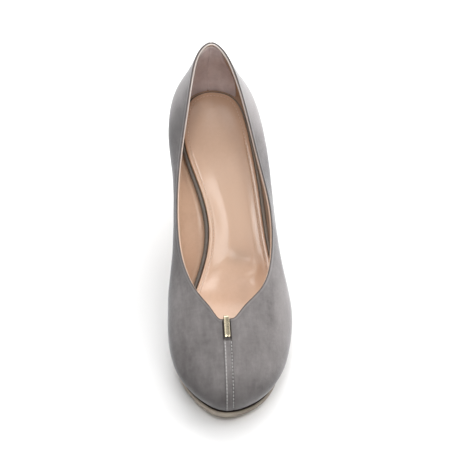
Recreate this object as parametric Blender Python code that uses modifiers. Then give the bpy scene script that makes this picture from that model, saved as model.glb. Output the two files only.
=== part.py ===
"""Pump shoe for the left foot: a low-cut suede upper on a covered heel.

Frame: metres, +Z up, floor at z = 0. The toe points to -Y and the heel to +Y,
the medial (big toe) side is -X and the lateral side is +X. The origin is on
the floor under the middle of the shoe's box.

The shoe is drawn on its last. "s" is the distance back from the toe tip along
+Y and "u" runs once round the shoe: 0 at the toe, 0.25 on the medial side, 0.5
at the back of the heel, 0.75 on the lateral side.
"""

import math

import bmesh
import bpy
import numpy as np

MM = 0.001

# ---------------------------------------------------------------- sizes, in mm
LENGTH = 227.4  # toe tip to the back of the heel curve, level
BALL_WIDTH = 82.2  # outside of the upper across the ball
HEEL_HEIGHT = 70.0  # floor to the feather edge at the back of the seat
THROAT_HEIGHT = 41.0  # floor to the lowest point of the throat (instep side)
BACK_HEIGHT = 51.0  # feather edge to the top line at the back seam

WALL = 1.8  # suede, backer and lining together
LASTING_MARGIN = 8.0  # upper turned in under the insole
GAP = 0.3  # between pieces that meet
FOREFOOT_SOLE = 4.2  # outsole thickness under the ball
SHANK_SOLE = 2.4  # outsole thickness at the waist
TOE_WELT = 2.0  # outsole beyond the feather edge at the toe
SIDE_WELT = 0.4  # and beside the ball
WAIST_INSET = 2.4  # outsole inside the feather edge at the waist
INSOLE_THICK = 2.7
BREAST_S = 177.5  # front face of the heel at the seat
LIFT_HEIGHT = 6.0  # rubber top lift
LIFT_HALF_WIDTH = 8.4
LIFT_BACK = 8.6
LIFT_FRONT = 7.8
SEAT_CENTRE = (2.3, 200.0)  # x, s of the heel's axis at the seat
LIFT_CENTRE = (2.2, 205.6)  # x, s of the heel's axis at the floor
BAR_WIDTH = 3.8
BAR_THICK = 1.1
BAR_LENGTH = 14.2  # along the vamp
BAR_RETURN = 6.0  # inside the throat
BAR_BEND = 0.75  # radius of its two bends over the top line
ARCH_LIFT = 4.0  # medial edge of the bottom above its middle, at the waist
ARCH_S = 132.0
ARCH_SPREAD = 26.0

# faces round the shoe and up the wall
AROUND = 88
UP_WALL = (0.05, 0.11, 0.18, 0.26, 0.35, 0.45, 0.55, 0.65, 0.75, 0.84, 0.92, 0.97)

# ------------------------------------------------------------------- tables
# Bottom of the last seen from the side: feather edge height along the shoe.
PROFILE_COLUMNS = ("s", "z")
PROFILE = (
    (0, 9.6),
    (12, 7.2),
    (26, 5.5),
    (42, 4.55),
    (56, 4.4),
    (70, 4.55),
    (83, 5.8),
    (96, 9.4),
    (110, 15.7),
    (125, 24.1),
    (140, 33.2),
    (155, 42.2),
    (170, 50.5),
    (185, 57.6),
    (200, 63.4),
    (212, 67.2),
    (224, 70.0),
)

# Sections of the upper, one row each, in order round the shoe from the toe.
# feather: where the wall meets the sole.  wide: the fullest line of the wall
# and its height over the feather edge.  crown: how far the wall stands out
# from a straight line above that.  top: the top line.  piping: diameter of the
# piping round the insole there.
SECTION_COLUMNS = (
    "name", "feather_x", "feather_s", "wide_x", "wide_s", "wide_h",
    "crown", "top_x", "top_s", "top_z", "piping",
)  # fmt: skip
SECTIONS = (
    ("toe_tip", -0.6, 1.2, -0.8, 0.3, 7.5, 4.8, 0.0, 51.5, 41.0, 1.6),
    ("toe_medial", -15.2, 8.4, -16.8, 7.0, 7.5, 5.2, -4.7, 51.4, 41.2, 1.6),
    ("toe_joint_medial", -27.8, 27.0, -31.4, 26.2, 9.0, 5.6, -10.2, 60.6, 42.6, 1.6),
    ("ball_medial", -32.2, 52.0, -36.4, 52.0, 11.0, 5.4, -17.8, 73.0, 43.5, 2.4),
    ("ball_rear_medial", -28.5, 78.0, -35.0, 80.0, 14.0, 3.5, -24.2, 91.0, 45.0, 2.6),
    ("waist_front_medial", -18.2, 102.0, -31.7, 103.0, 18.0, 1.5, -27.3, 109.0, 50.5, 2.8),
    ("waist_medial", -10.5, 128.0, -29.2, 128.0, 21.0, 0.6, -27.4, 131.0, 61.0, 2.8),
    ("waist_rear_medial", -15.4, 155.0, -28.8, 155.0, 20.0, 1.0, -24.2, 155.0, 76.5, 2.8),
    ("heel_front_medial", -22.6, 180.0, -29.6, 181.0, 20.0, 1.0, -18.9, 179.0, 93.7, 2.4),
    ("heel_side_medial", -21.8, 203.0, -25.8, 205.5, 19.0, 0.6, -14.2, 199.8, 108.0, 1.9),
    ("heel_corner_medial", -13.5, 218.2, -15.2, 220.8, 19.0, 0.4, -9.2, 213.8, 117.3, 1.5),
    ("heel_back", 1.6, 223.6, 1.0, 226.6, 19.5, 0.6, 0.3, 220.0, 121.5, 1.5),
    ("heel_corner_lateral", 17.4, 218.4, 17.6, 220.8, 19.0, 0.4, 9.8, 213.8, 117.3, 1.5),
    ("heel_side_lateral", 26.0, 203.0, 28.8, 205.5, 19.0, 0.6, 16.6, 199.8, 108.0, 1.5),
    ("heel_front_lateral", 30.2, 180.0, 34.2, 181.0, 20.0, 1.0, 22.6, 179.0, 93.7, 1.7),
    ("waist_rear_lateral", 34.2, 155.0, 37.0, 155.0, 18.5, 1.0, 28.6, 155.0, 76.5, 2.4),
    ("waist_lateral", 36.9, 128.0, 38.9, 128.0, 16.5, 0.8, 34.3, 131.0, 61.0, 2.4),
    ("waist_front_lateral", 40.0, 102.0, 41.6, 101.0, 13.5, 1.8, 34.8, 108.0, 49.5, 1.5),
    ("ball_rear_lateral", 40.8, 78.0, 45.2, 77.0, 11.0, 4.2, 30.5, 86.0, 43.5, 1.6),
    ("ball_lateral", 38.6, 54.0, 43.4, 53.0, 10.0, 5.4, 22.6, 71.0, 42.5, 1.6),
    ("toe_joint_lateral", 32.2, 28.5, 35.6, 27.0, 8.5, 5.6, 12.2, 59.6, 42.4, 1.6),
    ("toe_lateral", 18.2, 9.0, 19.6, 7.6, 7.5, 5.2, 5.2, 51.6, 41.2, 1.6),
)

# Heel from the seat (drop 0) to the top lift (drop 1): how much of the seat's
# size is left to the side, in front (breast) and behind.
HEEL_COLUMNS = ("drop", "side", "breast", "back")
HEEL_ROWS = (
    (0.00, 1.00, 1.00, 1.00),
    (0.07, 0.95, 0.90, 0.96),
    (0.16, 0.84, 0.74, 0.88),
    (0.28, 0.66, 0.53, 0.75),
    (0.43, 0.45, 0.32, 0.57),
    (0.60, 0.27, 0.17, 0.37),
    (0.80, 0.11, 0.06, 0.17),
    (1.00, 0.00, 0.00, 0.00),
)

# Padded insole: height of its top over an even sheet, along its middle line.
PAD_COLUMNS = ("s", "lift")
PAD_ROWS = (
    (0, 0.0), (30, 0.1), (60, 0.4), (82, 0.6), (104, 1.0), (130, 0.7),
    (160, 0.2), (185, -0.5), (205, -0.7), (224, 0.0),
)  # fmt: skip

# the tables are drawn at these sizes and follow the sizes above
DRAWN = {"length": 227.4, "ball": 82.2, "heel": 70.0, "throat": 41.0, "back": 51.0}


# ------------------------------------------------------------ curves of tables
def column(rows, columns, name):
    return np.array([row[columns.index(name)] for row in rows], float)


def open_spline(knots, values):
    """Cubic through the knots, straight at its two ends."""
    n, h = len(knots), np.diff(knots)
    lhs, rhs = np.eye(n), np.zeros(n)
    for i in range(1, n - 1):
        lhs[i, i - 1 : i + 2] = h[i - 1], 2 * (h[i - 1] + h[i]), h[i]
        rhs[i] = 6 * (
            (values[i + 1] - values[i]) / h[i] - (values[i] - values[i - 1]) / h[i - 1]
        )
    bend = np.linalg.solve(lhs, rhs)

    def at(x):
        i = min(max(int(np.searchsorted(knots, x)) - 1, 0), n - 2)
        a, b, w = knots[i + 1] - x, x - knots[i], h[i]
        return (
            (bend[i] * a**3 + bend[i + 1] * b**3) / (6 * w)
            + (values[i] / w - bend[i] * w / 6) * a
            + (values[i + 1] / w - bend[i + 1] * w / 6) * b
        )

    return at


def closed_spline(values):
    """Cubic round a closed ring of evenly spaced values; u runs 0 to 1."""
    n = len(values)
    lhs = 4 * np.eye(n) + np.roll(np.eye(n), 1, 0) + np.roll(np.eye(n), -1, 0)
    rhs = 6 * (np.roll(values, -1) - 2 * values + np.roll(values, 1))
    bend = np.linalg.solve(lhs, rhs)

    def at(u):
        x = (u % 1.0) * n
        i = int(x) % n
        j, b = (i + 1) % n, x - int(x)
        a = 1 - b
        return (
            (bend[i] * a**3 + bend[j] * b**3) / 6
            + (values[i] - bend[i] / 6) * a
            + (values[j] - bend[j] / 6) * b
        )

    return at


KX = BALL_WIDTH / DRAWN["ball"]
KS = LENGTH / DRAWN["length"]
SOLE_Z = FOREFOOT_SOLE + GAP - 0.1  # feather edge height over the flat tread


def scaled_profile():
    s = column(PROFILE, PROFILE_COLUMNS, "s") * KS
    z = column(PROFILE, PROFILE_COLUMNS, "z")
    rise = (HEEL_HEIGHT - SOLE_Z) / (DRAWN["heel"] - SOLE_Z)
    back = s > 56 * KS
    z[back] = SOLE_Z + (z[back] - SOLE_Z) * rise
    return open_spline(s, z)


profile = scaled_profile()


def section(name):
    scale = KX if name.endswith("_x") else KS if name.endswith("_s") else 1.0
    return column(SECTIONS, SECTION_COLUMNS, name) * scale


def scaled_top():
    """Top line heights: the throat follows THROAT_HEIGHT, the back BACK_HEIGHT."""
    z, s = section("top_z"), section("top_s")
    share = np.clip((s - s.min()) / (s.max() - s.min()), 0, 1)
    throat = THROAT_HEIGHT - DRAWN["throat"]
    back = (HEEL_HEIGHT + BACK_HEIGHT) - (DRAWN["heel"] + DRAWN["back"])
    return z + throat * (1 - share) + back * share


RING = {
    name: closed_spline(section(name))
    for name in SECTION_COLUMNS
    if name not in ("name", "top_z")
}
RING["top_z"] = closed_spline(scaled_top())
pad_lift = open_spline(
    column(PAD_ROWS, PAD_COLUMNS, "s") * KS, column(PAD_ROWS, PAD_COLUMNS, "lift")
)
HEEL_FLARE = {
    name: open_spline(
        column(HEEL_ROWS, HEEL_COLUMNS, "drop"), column(HEEL_ROWS, HEEL_COLUMNS, name)
    )
    for name in ("side", "breast", "back")
}


# -------------------------------------------------------------- the last itself
def bottom(x, s):
    """Height of the last's bottom: the side profile, lifted under the arch."""
    arch = ARCH_LIFT * math.exp(-(((s / KS - ARCH_S) / ARCH_SPREAD) ** 2))
    across = min(max((14.0 - x / KX) / 26.0, 0.0), 1.3)
    return float(profile(min(max(s, -4.0), LENGTH + 4.0))) + arch * across**2


def over(x, s, thick):
    """Height of a layer of this thickness, square to the last's bottom."""
    e = 0.5
    gx = (bottom(x + e, s) - bottom(x - e, s)) / (2 * e)
    gs = (bottom(x, s + e) - bottom(x, s - e)) / (2 * e)
    return bottom(x, s) + thick * math.sqrt(1 + gx * gx + gs * gs)


def inward(u, x="feather_x", s="feather_s"):
    """Unit direction, in plan, from a ring towards the inside of the shoe."""
    e = 1e-4
    dx = RING[x](u + e) - RING[x](u - e)
    ds = RING[s](u + e) - RING[s](u - e)
    size = math.hypot(dx, ds)
    return ds / size, -dx / size


def feather(u, inset=0.0):
    """Plan point of the feather edge, moved in by inset."""
    nx, ns = inward(u)
    return RING["feather_x"](u) + nx * inset, RING["feather_s"](u) + ns * inset


def wall_points(u):
    """Feather edge, fullest point, crown and top line of the section at u."""
    fx, fs = feather(u)
    fz = bottom(fx, fs)
    f = np.array((fx, fs, fz))
    w = np.array((RING["wide_x"](u), RING["wide_s"](u), fz + RING["wide_h"](u)))
    t = np.array((RING["top_x"](u), RING["top_s"](u), RING["top_z"](u)))
    nx, ns = inward(u, "wide_x", "wide_s")
    chord = t - w
    lean = chord[0] * nx + chord[1] * ns
    out = np.array((-chord[2] * nx, -chord[2] * ns, lean))
    crown = w + 0.45 * chord + out / np.linalg.norm(out) * RING["crown"](u)
    return np.array((f, w, crown, t))


def wall_curve(u):
    """The section at u as a curve: 0 at the feather edge, 1 at the top line."""
    points = wall_points(u)
    along = np.concatenate(
        ([0.0], np.cumsum(np.linalg.norm(np.diff(points, axis=0), axis=1)))
    )
    curves = [open_spline(along / along[-1], points[:, k]) for k in range(3)]
    return lambda v: np.array([c(v) for c in curves]), along[-1]


# ------------------------------------------------------------------ mesh helpers
def clear_scene():
    for obj in list(bpy.data.objects):
        bpy.data.objects.remove(obj, do_unlink=True)


def make_material(name, colour, roughness, metallic=0.0):
    material = bpy.data.materials.new(name)
    material.use_nodes = True
    shader = material.node_tree.nodes["Principled BSDF"]
    shader.inputs["Base Color"].default_value = (*colour, 1.0)
    shader.inputs["Roughness"].default_value = roughness
    shader.inputs["Metallic"].default_value = metallic
    return material


def add_object(name, data, material, collection, parent):
    obj = bpy.data.objects.new(name, data)
    data.materials.append(material)
    collection.objects.link(obj)
    obj.parent = parent
    return obj


def bent_grid(name, across, up, place):
    """A Grid primitive with each vertex moved to place(i, j), joined at its seam."""
    bm = bmesh.new()
    bmesh.ops.create_grid(bm, x_segments=across, y_segments=up, size=0.5)
    for vert in bm.verts:
        i = round((vert.co.x + 0.5) * across)
        j = round((vert.co.y + 0.5) * up)
        x, s, z = place(i, j)
        vert.co = (x * MM, s * MM, z * MM)
    bmesh.ops.remove_doubles(bm, verts=bm.verts, dist=2e-6)
    bmesh.ops.dissolve_degenerate(bm, edges=bm.edges, dist=1e-7)
    bmesh.ops.recalc_face_normals(bm, faces=bm.faces)
    mesh = bpy.data.meshes.new(name)
    bm.to_mesh(mesh)
    bm.free()
    return mesh


def smooth(mesh, degrees=40):
    mesh.shade_smooth()
    mesh.set_sharp_from_angle(angle=math.radians(degrees))


def bag(name, edge, rows):
    """A closed flat piece. edge(i) gives its plan outline; each row says how far
    in from the edge towards the spine (0 to 1) a ring lies, and its height
    function, going from the spine over the top, round the edge and back."""
    points = [edge(i) for i in range(AROUND)]
    middle = [
        ((a[0] + b[0]) / 2, (a[1] + b[1]) / 2)
        for a, b in ((points[i], points[-i % AROUND]) for i in range(AROUND // 2 + 1))
    ]
    line_x, line_s = np.array(middle).T
    near, far = line_s.min() + 14.0, line_s.max() - 12.0
    spine = []
    for i in range(AROUND):
        s = min(max(line_s[min(i, AROUND - i)], near), far)
        spine.append((float(np.interp(s, line_s, line_x)), s))

    def place(i, j):
        i %= AROUND
        share, height = rows[j]
        (ex, es), (px, ps) = points[i], spine[i]
        x, s = ex + (px - ex) * share, es + (ps - es) * share
        return x, s, height(x, s)

    mesh = bent_grid(name, AROUND, len(rows) - 1, place)
    smooth(mesh)
    return mesh


# ----------------------------------------------------------------------- pieces
def make_upper():
    """Vamp and quarters as one shell, open at the top line and underneath."""
    steps = (-1.0, -0.5, 0.0, *UP_WALL, 1.0)
    cache = {}

    def place(i, j):
        u, v = (i % AROUND) / AROUND, steps[j]
        if v <= 0.0:
            x, s = feather(u, -v * LASTING_MARGIN)
            return x, s, bottom(x, s)
        if u not in cache:
            cache[u] = wall_curve(u)[0]
        return cache[u](v)

    mesh = bent_grid("upper", AROUND, len(steps) - 1, place)
    face_out(mesh)
    smooth(mesh, 50)
    return mesh


def face_out(mesh):
    """Turns the shell's faces so that the wall beside the heel faces outwards."""
    heel = max(mesh.polygons, key=lambda p: p.center.y)
    if heel.normal.y < 0:
        mesh.flip_normals()


def make_insole():
    """Padded insole with a dished heel seat."""
    low = WALL + GAP

    def edge(i):
        u = i / AROUND
        return feather(u, WALL + GAP + RING["piping"](u) + GAP)

    def under(x, s):
        return over(x, s, low)

    def rim(x, s):
        return over(x, s, low + INSOLE_THICK)

    def top(share):
        dome = share * (2 - share)
        return lambda x, s: rim(x, s) + 0.35 + dome * pad_lift(s)

    rows = (
        (1.0, top(1.0)), (0.75, top(0.75)), (0.5, top(0.5)), (0.25, top(0.25)),
        (0.08, top(0.08)), (0.0, rim),
        (0.0, under), (0.35, under), (0.7, under), (1.0, under),
    )  # fmt: skip
    return bag("insole", edge, rows)


def make_piping():
    """Piping between the insole and the upper's wall, thickest at the waist."""
    curve = bpy.data.curves.new("insole_piping", "CURVE")
    curve.dimensions = "3D"
    curve.bevel_depth = MM / 2
    curve.bevel_resolution = 2
    curve.use_fill_caps = True
    spline = curve.splines.new("POLY")
    spline.points.add(AROUND - 1)
    for i, point in enumerate(spline.points):
        size = RING["piping"](i / AROUND)
        x, s = feather(i / AROUND, WALL + GAP + size / 2)
        z = over(x, s, WALL + GAP + size / 2)
        point.co = (x * MM, s * MM, z * MM, 1.0)
        point.radius = size
    spline.use_cyclic_u = True
    return curve


def sole_edge(u):
    """Plan outline of the outsole: a narrow welt round the toe, drawn in at the
    waist, and cut straight across at the heel's breast."""
    x, s = feather(u)
    share = min(max((s / KS - 78.0) / 34.0, 0.0), 1.0)
    share = share * share * (3 - 2 * share)
    welt = SIDE_WELT + (TOE_WELT - SIDE_WELT) * math.exp(-((s / KS / 16.0) ** 2))
    return feather(u, -welt + (welt + WAIST_INSET) * share)


def make_outsole():
    end = BREAST_S * KS - GAP
    ring = [sole_edge(i / AROUND) for i in range(AROUND)]
    cut = [i for i, p in enumerate(ring) if p[1] > end]
    first, last = cut[0] - 1, cut[-1] + 1

    def crossing(i, j):
        (ax, a_s), (bx, b_s) = ring[i], ring[j]
        return ax + (bx - ax) * (end - a_s) / (b_s - a_s)

    medial, lateral = crossing(first, cut[0]), crossing(last, cut[-1])

    def edge(i):
        if first < i < last:
            share = (i - first - 1) / (last - first - 2)
            return medial + (lateral - medial) * share, end
        return ring[i]

    def thick(s):
        share = min(max((s / KS - 74.0) / 40.0, 0.0), 1.0)
        return FOREFOOT_SOLE + (SHANK_SOLE - FOREFOOT_SOLE) * share

    def top(x, s):
        return bottom(x, s) - GAP

    def under(x, s):
        return max(bottom(x, s) - GAP - thick(s), 0.0)

    def bevel(x, s):
        return under(x, s) + 0.5

    rows = (
        (1.0, top), (0.6, top), (0.25, top), (0.0, top), (0.0, bevel),
        (0.03, under), (0.3, under), (0.65, under), (1.0, under),
    )  # fmt: skip
    return bag("outsole", edge, rows)


def soft_least(a, b, sharpness=9.0):
    """The smaller of two radii, with the corner between them rounded."""
    return (a**-sharpness + b**-sharpness) ** (-1 / sharpness)


def seat_radius(angle):
    """From the heel's axis to the outline of its seat: the feather edge behind
    and at the sides, the breast line in front."""
    dx, ds = math.cos(angle), math.sin(angle)
    cx, cs = SEAT_CENTRE[0] * KX, SEAT_CENTRE[1] * KS
    ring = [feather(0.25 + 0.5 * i / 240) for i in range(241)]
    reach = 1e9
    for (ax, a_s), (bx, b_s) in zip(ring, ring[1:]):
        ex, es = bx - ax, b_s - a_s
        det = ex * ds - es * dx
        if abs(det) < 1e-12:
            continue
        r = (ex * (a_s - cs) - es * (ax - cx)) / det
        t = (dx * (a_s - cs) - ds * (ax - cx)) / det
        if r > 0 and -1e-9 <= t <= 1 + 1e-9:
            reach = min(reach, r)
    if ds < -1e-6:
        reach = soft_least(reach, (BREAST_S * KS - cs) / ds, 14.0)
    return reach


def lift_radius(angle):
    """Outline of the top lift: round behind, flat in front."""
    dx, ds = math.cos(angle), math.sin(angle)
    long = LIFT_BACK if ds > 0 else LIFT_BACK + 1.2
    power = 2.5
    reach = (
        abs(dx / LIFT_HALF_WIDTH) ** power + abs(ds / long) ** power
    ) ** (-1 / power)
    if ds < -1e-6:
        reach = soft_least(reach, LIFT_FRONT / -ds)
    return reach


HEEL_AROUND = 48


def make_heel():
    """Covered heel: its top follows the seat, its breast is hollowed."""
    angles = [2 * math.pi * i / HEEL_AROUND for i in range(HEEL_AROUND)]
    seat = [seat_radius(a) for a in angles]
    lift = [lift_radius(a) for a in angles]
    drops = (0.0, 0.035, 0.07, 0.12, 0.18, 0.26, 0.35, 0.46, 0.58, 0.72, 0.86, 1.0)
    rows = [("seat", k) for k in (0.0, 0.5, 0.85)]
    rows += [("side", d) for d in drops] + [("foot", k) for k in (0.5, 0.0)]
    foot_z = LIFT_HEIGHT + GAP

    def place(i, j):
        i %= HEEL_AROUND
        dx, ds = math.cos(angles[i]), math.sin(angles[i])
        part, value = rows[j]
        if part == "seat":
            x = SEAT_CENTRE[0] * KX + dx * seat[i] * value
            s = SEAT_CENTRE[1] * KS + ds * seat[i] * value
            return x, s, bottom(x, s) - GAP
        drop = value if part == "side" else 1.0
        size = 1.0 if part == "side" else value
        end = "back" if ds > 0 else "breast"
        flare = HEEL_FLARE["side"](drop) * dx * dx + HEEL_FLARE[end](drop) * ds * ds
        radius = (lift[i] + (seat[i] - lift[i]) * flare) * size
        x = (SEAT_CENTRE[0] + (LIFT_CENTRE[0] - SEAT_CENTRE[0]) * drop) * KX
        s = (SEAT_CENTRE[1] + (LIFT_CENTRE[1] - SEAT_CENTRE[1]) * drop) * KS
        sx = SEAT_CENTRE[0] * KX + dx * seat[i]
        ss = SEAT_CENTRE[1] * KS + ds * seat[i]
        z = bottom(sx, ss) - GAP
        return x + dx * radius, s + ds * radius, z + (foot_z - z) * drop

    mesh = bent_grid("heel", HEEL_AROUND, len(rows) - 1, place)
    smooth(mesh, 50)
    return mesh


def make_top_lift():
    angles = [2 * math.pi * i / HEEL_AROUND for i in range(HEEL_AROUND)]
    rows = (
        (0.0, LIFT_HEIGHT), (0.985, LIFT_HEIGHT), (0.985, 0.6), (0.94, 0.0), (0.0, 0.0),
    )  # fmt: skip

    def place(i, j):
        angle = angles[i % HEEL_AROUND]
        size, z = rows[j]
        radius = lift_radius(angle) * size
        return (
            LIFT_CENTRE[0] * KX + math.cos(angle) * radius,
            LIFT_CENTRE[1] * KS + math.sin(angle) * radius,
            z,
        )

    mesh = bent_grid("heel_top_lift", HEEL_AROUND, len(rows) - 1, place)
    smooth(mesh, 30)
    return mesh


def bar_line():
    """Middle line of the metal bar, in the plane of the vamp's centre seam: down
    the vamp from the throat, over the top line and a short way inside."""
    curve, size = wall_curve(0.0)
    stand = GAP + BAR_THICK / 2

    def at(v):
        p, q = curve(v - 0.004), curve(v + 0.004)
        ds, dz = q[1] - p[1], q[2] - p[2]
        length = math.hypot(ds, dz)
        mid = curve(v)
        return mid[1], mid[2], -dz / length, ds / length, ds / length, dz / length

    outer, inner = [], []
    for k in range(9):
        s, z, ns, nz, _, _ = at(1.0 - BAR_LENGTH / size * (1 - k / 8))
        outer.append((s + ns * stand, z + nz * stand))
    for k in range(5):
        s, z, ns, nz, _, _ = at(1.0 - BAR_RETURN / size * k / 4)
        depth = WALL + stand
        inner.append((s - ns * depth, z - nz * depth))
    s, z, ns, nz, ts, tz = at(1.0)
    cs, cz = s - ns * WALL / 2, z - nz * WALL / 2
    half = WALL / 2 + stand
    bend = []
    for k in range(1, 5):
        a = math.pi / 2 * k / 4
        across = half - BAR_BEND * (1 - math.cos(a))
        bend.append((across, stand - BAR_BEND * (1 - math.sin(a))))
    bend += [(-across, rise) for across, rise in reversed(bend)]
    turn = [(cs + w * ns + h * ts, cz + w * nz + h * tz) for w, h in bend]
    return outer + turn + inner


def make_bar():
    """Strip of metal bent over the throat; its width is level."""
    line = bar_line()
    x = RING["top_x"](0.0)

    def place(i, j):
        s, z = line[j]
        return x + (i / 2 - 0.5) * BAR_WIDTH, s, z

    mesh = bent_grid("throat_bar", 2, len(line) - 1, place)
    top = max(mesh.polygons, key=lambda p: p.center.z)
    if top.normal.z < 0:
        mesh.flip_normals()
    smooth(mesh)
    return mesh


# ----------------------------------------------------------------------- build
def build():
    clear_scene()
    shoe = bpy.data.collections.new("pump_shoe")
    bpy.context.scene.collection.children.link(shoe)
    root = bpy.data.objects.new("pump_shoe_root", None)
    shoe.objects.link(root)

    suede = make_material("grey_suede", (0.205, 0.197, 0.198), 0.95)
    sock = make_material("tan_leather", (0.72, 0.50, 0.35), 0.45)
    piping = make_material("grey_piping", (0.10, 0.092, 0.085), 0.7)
    sole = make_material("taupe_sole", (0.33, 0.28, 0.235), 0.6)
    rubber = make_material("dark_rubber", (0.045, 0.04, 0.038), 0.75)
    gold = make_material("pale_gold", (0.80, 0.70, 0.45), 0.22, 1.0)

    pieces = (
        ("upper", make_upper(), suede),
        ("insole", make_insole(), sock),
        ("insole_piping", make_piping(), piping),
        ("outsole", make_outsole(), sole),
        ("heel", make_heel(), suede),
        ("heel_top_lift", make_top_lift(), rubber),
        ("throat_bar", make_bar(), gold),
    )
    made = {n: add_object(n, d, m, shoe, root) for n, d, m in pieces}

    wall = made["upper"].modifiers.new("wall", "SOLIDIFY")
    wall.thickness = WALL * MM
    wall.offset = -1.0
    wall.use_even_offset = True
    wall.use_quality_normals = True

    strip = made["throat_bar"].modifiers.new("thickness", "SOLIDIFY")
    strip.thickness = BAR_THICK * MM
    strip.offset = 0.0
    strip.use_even_offset = True
    edges = made["throat_bar"].modifiers.new("edges", "BEVEL")
    edges.width = 0.3 * MM
    edges.segments = 1
    edges.limit_method = "ANGLE"
    edges.angle_limit = math.radians(50)

    # the origin goes on the floor under the middle of the box
    bpy.context.view_layer.update()
    graph = bpy.context.evaluated_depsgraph_get()
    low, high = np.full(3, 1e9), np.full(3, -1e9)
    for obj in made.values():
        seen = obj.evaluated_get(graph)
        mesh = seen.to_mesh()
        points = np.array([v.co[:] for v in mesh.vertices])
        low, high = np.minimum(low, points.min(0)), np.maximum(high, points.max(0))
        seen.to_mesh_clear()
    root.location = (-(low[0] + high[0]) / 2, -(low[1] + high[1]) / 2, 0.0)
    bpy.context.view_layer.update()


build()
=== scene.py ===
"""Pump shoe for the left foot: grey suede upper, tan padded sock, covered heel.

Lengths are in mm on the last: x across (medial side negative), s back from the
toe tip, z up; u runs once round the shoe from the toe, 0.5 is the heel's back.
"""

import math

import bmesh
import bpy
import numpy as np
from mathutils import Matrix, Vector


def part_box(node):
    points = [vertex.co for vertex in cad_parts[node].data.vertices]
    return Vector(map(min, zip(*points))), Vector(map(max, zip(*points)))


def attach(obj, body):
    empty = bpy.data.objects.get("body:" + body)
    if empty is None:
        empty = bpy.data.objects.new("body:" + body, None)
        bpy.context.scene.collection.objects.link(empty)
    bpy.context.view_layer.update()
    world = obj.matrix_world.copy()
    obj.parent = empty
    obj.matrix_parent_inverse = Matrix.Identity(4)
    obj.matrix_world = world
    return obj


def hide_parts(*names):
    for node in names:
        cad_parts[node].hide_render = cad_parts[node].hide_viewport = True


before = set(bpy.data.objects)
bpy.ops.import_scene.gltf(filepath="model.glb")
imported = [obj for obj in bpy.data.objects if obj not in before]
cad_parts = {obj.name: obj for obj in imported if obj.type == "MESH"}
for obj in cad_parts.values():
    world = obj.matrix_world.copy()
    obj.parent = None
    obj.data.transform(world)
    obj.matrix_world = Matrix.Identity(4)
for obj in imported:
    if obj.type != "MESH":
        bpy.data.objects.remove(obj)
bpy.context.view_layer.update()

MM = 0.001

# ------------------------------------------------------------- sizes of the last
WALL = 1.8
LASTING_MARGIN = 8.0
GAP = 0.3
FOREFOOT_SOLE = 4.2
SHANK_SOLE = 2.4
TOE_WELT = 2.0
SIDE_WELT = 0.4
WAIST_INSET = 2.4
INSOLE_THICK = 2.7
BREAST_S = 177.5
LIFT_HEIGHT = 6.0
LIFT_HALF_WIDTH = 8.4
LIFT_BACK = 8.6
LIFT_FRONT = 7.8
SEAT_CENTRE = (2.3, 200.0)
LIFT_CENTRE = (2.2, 205.6)
BAR_WIDTH = 3.8
BAR_THICK = 1.1
BAR_LENGTH = 14.2
BAR_RETURN = 6.0
BAR_BEND = 0.75
ARCH_LIFT = 4.0
ARCH_S = 132.0
ARCH_SPREAD = 26.0
LENGTH = 227.4

PROFILE_COLUMNS = ("s", "z")
PROFILE = (
    (0, 9.6), (12, 7.2), (26, 5.5), (42, 4.55), (56, 4.4), (70, 4.55), (83, 5.8),
    (96, 9.4), (110, 15.7), (125, 24.1), (140, 33.2), (155, 42.2), (170, 50.5),
    (185, 57.6), (200, 63.4), (212, 67.2), (224, 70.0),
)  # fmt: skip

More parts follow.
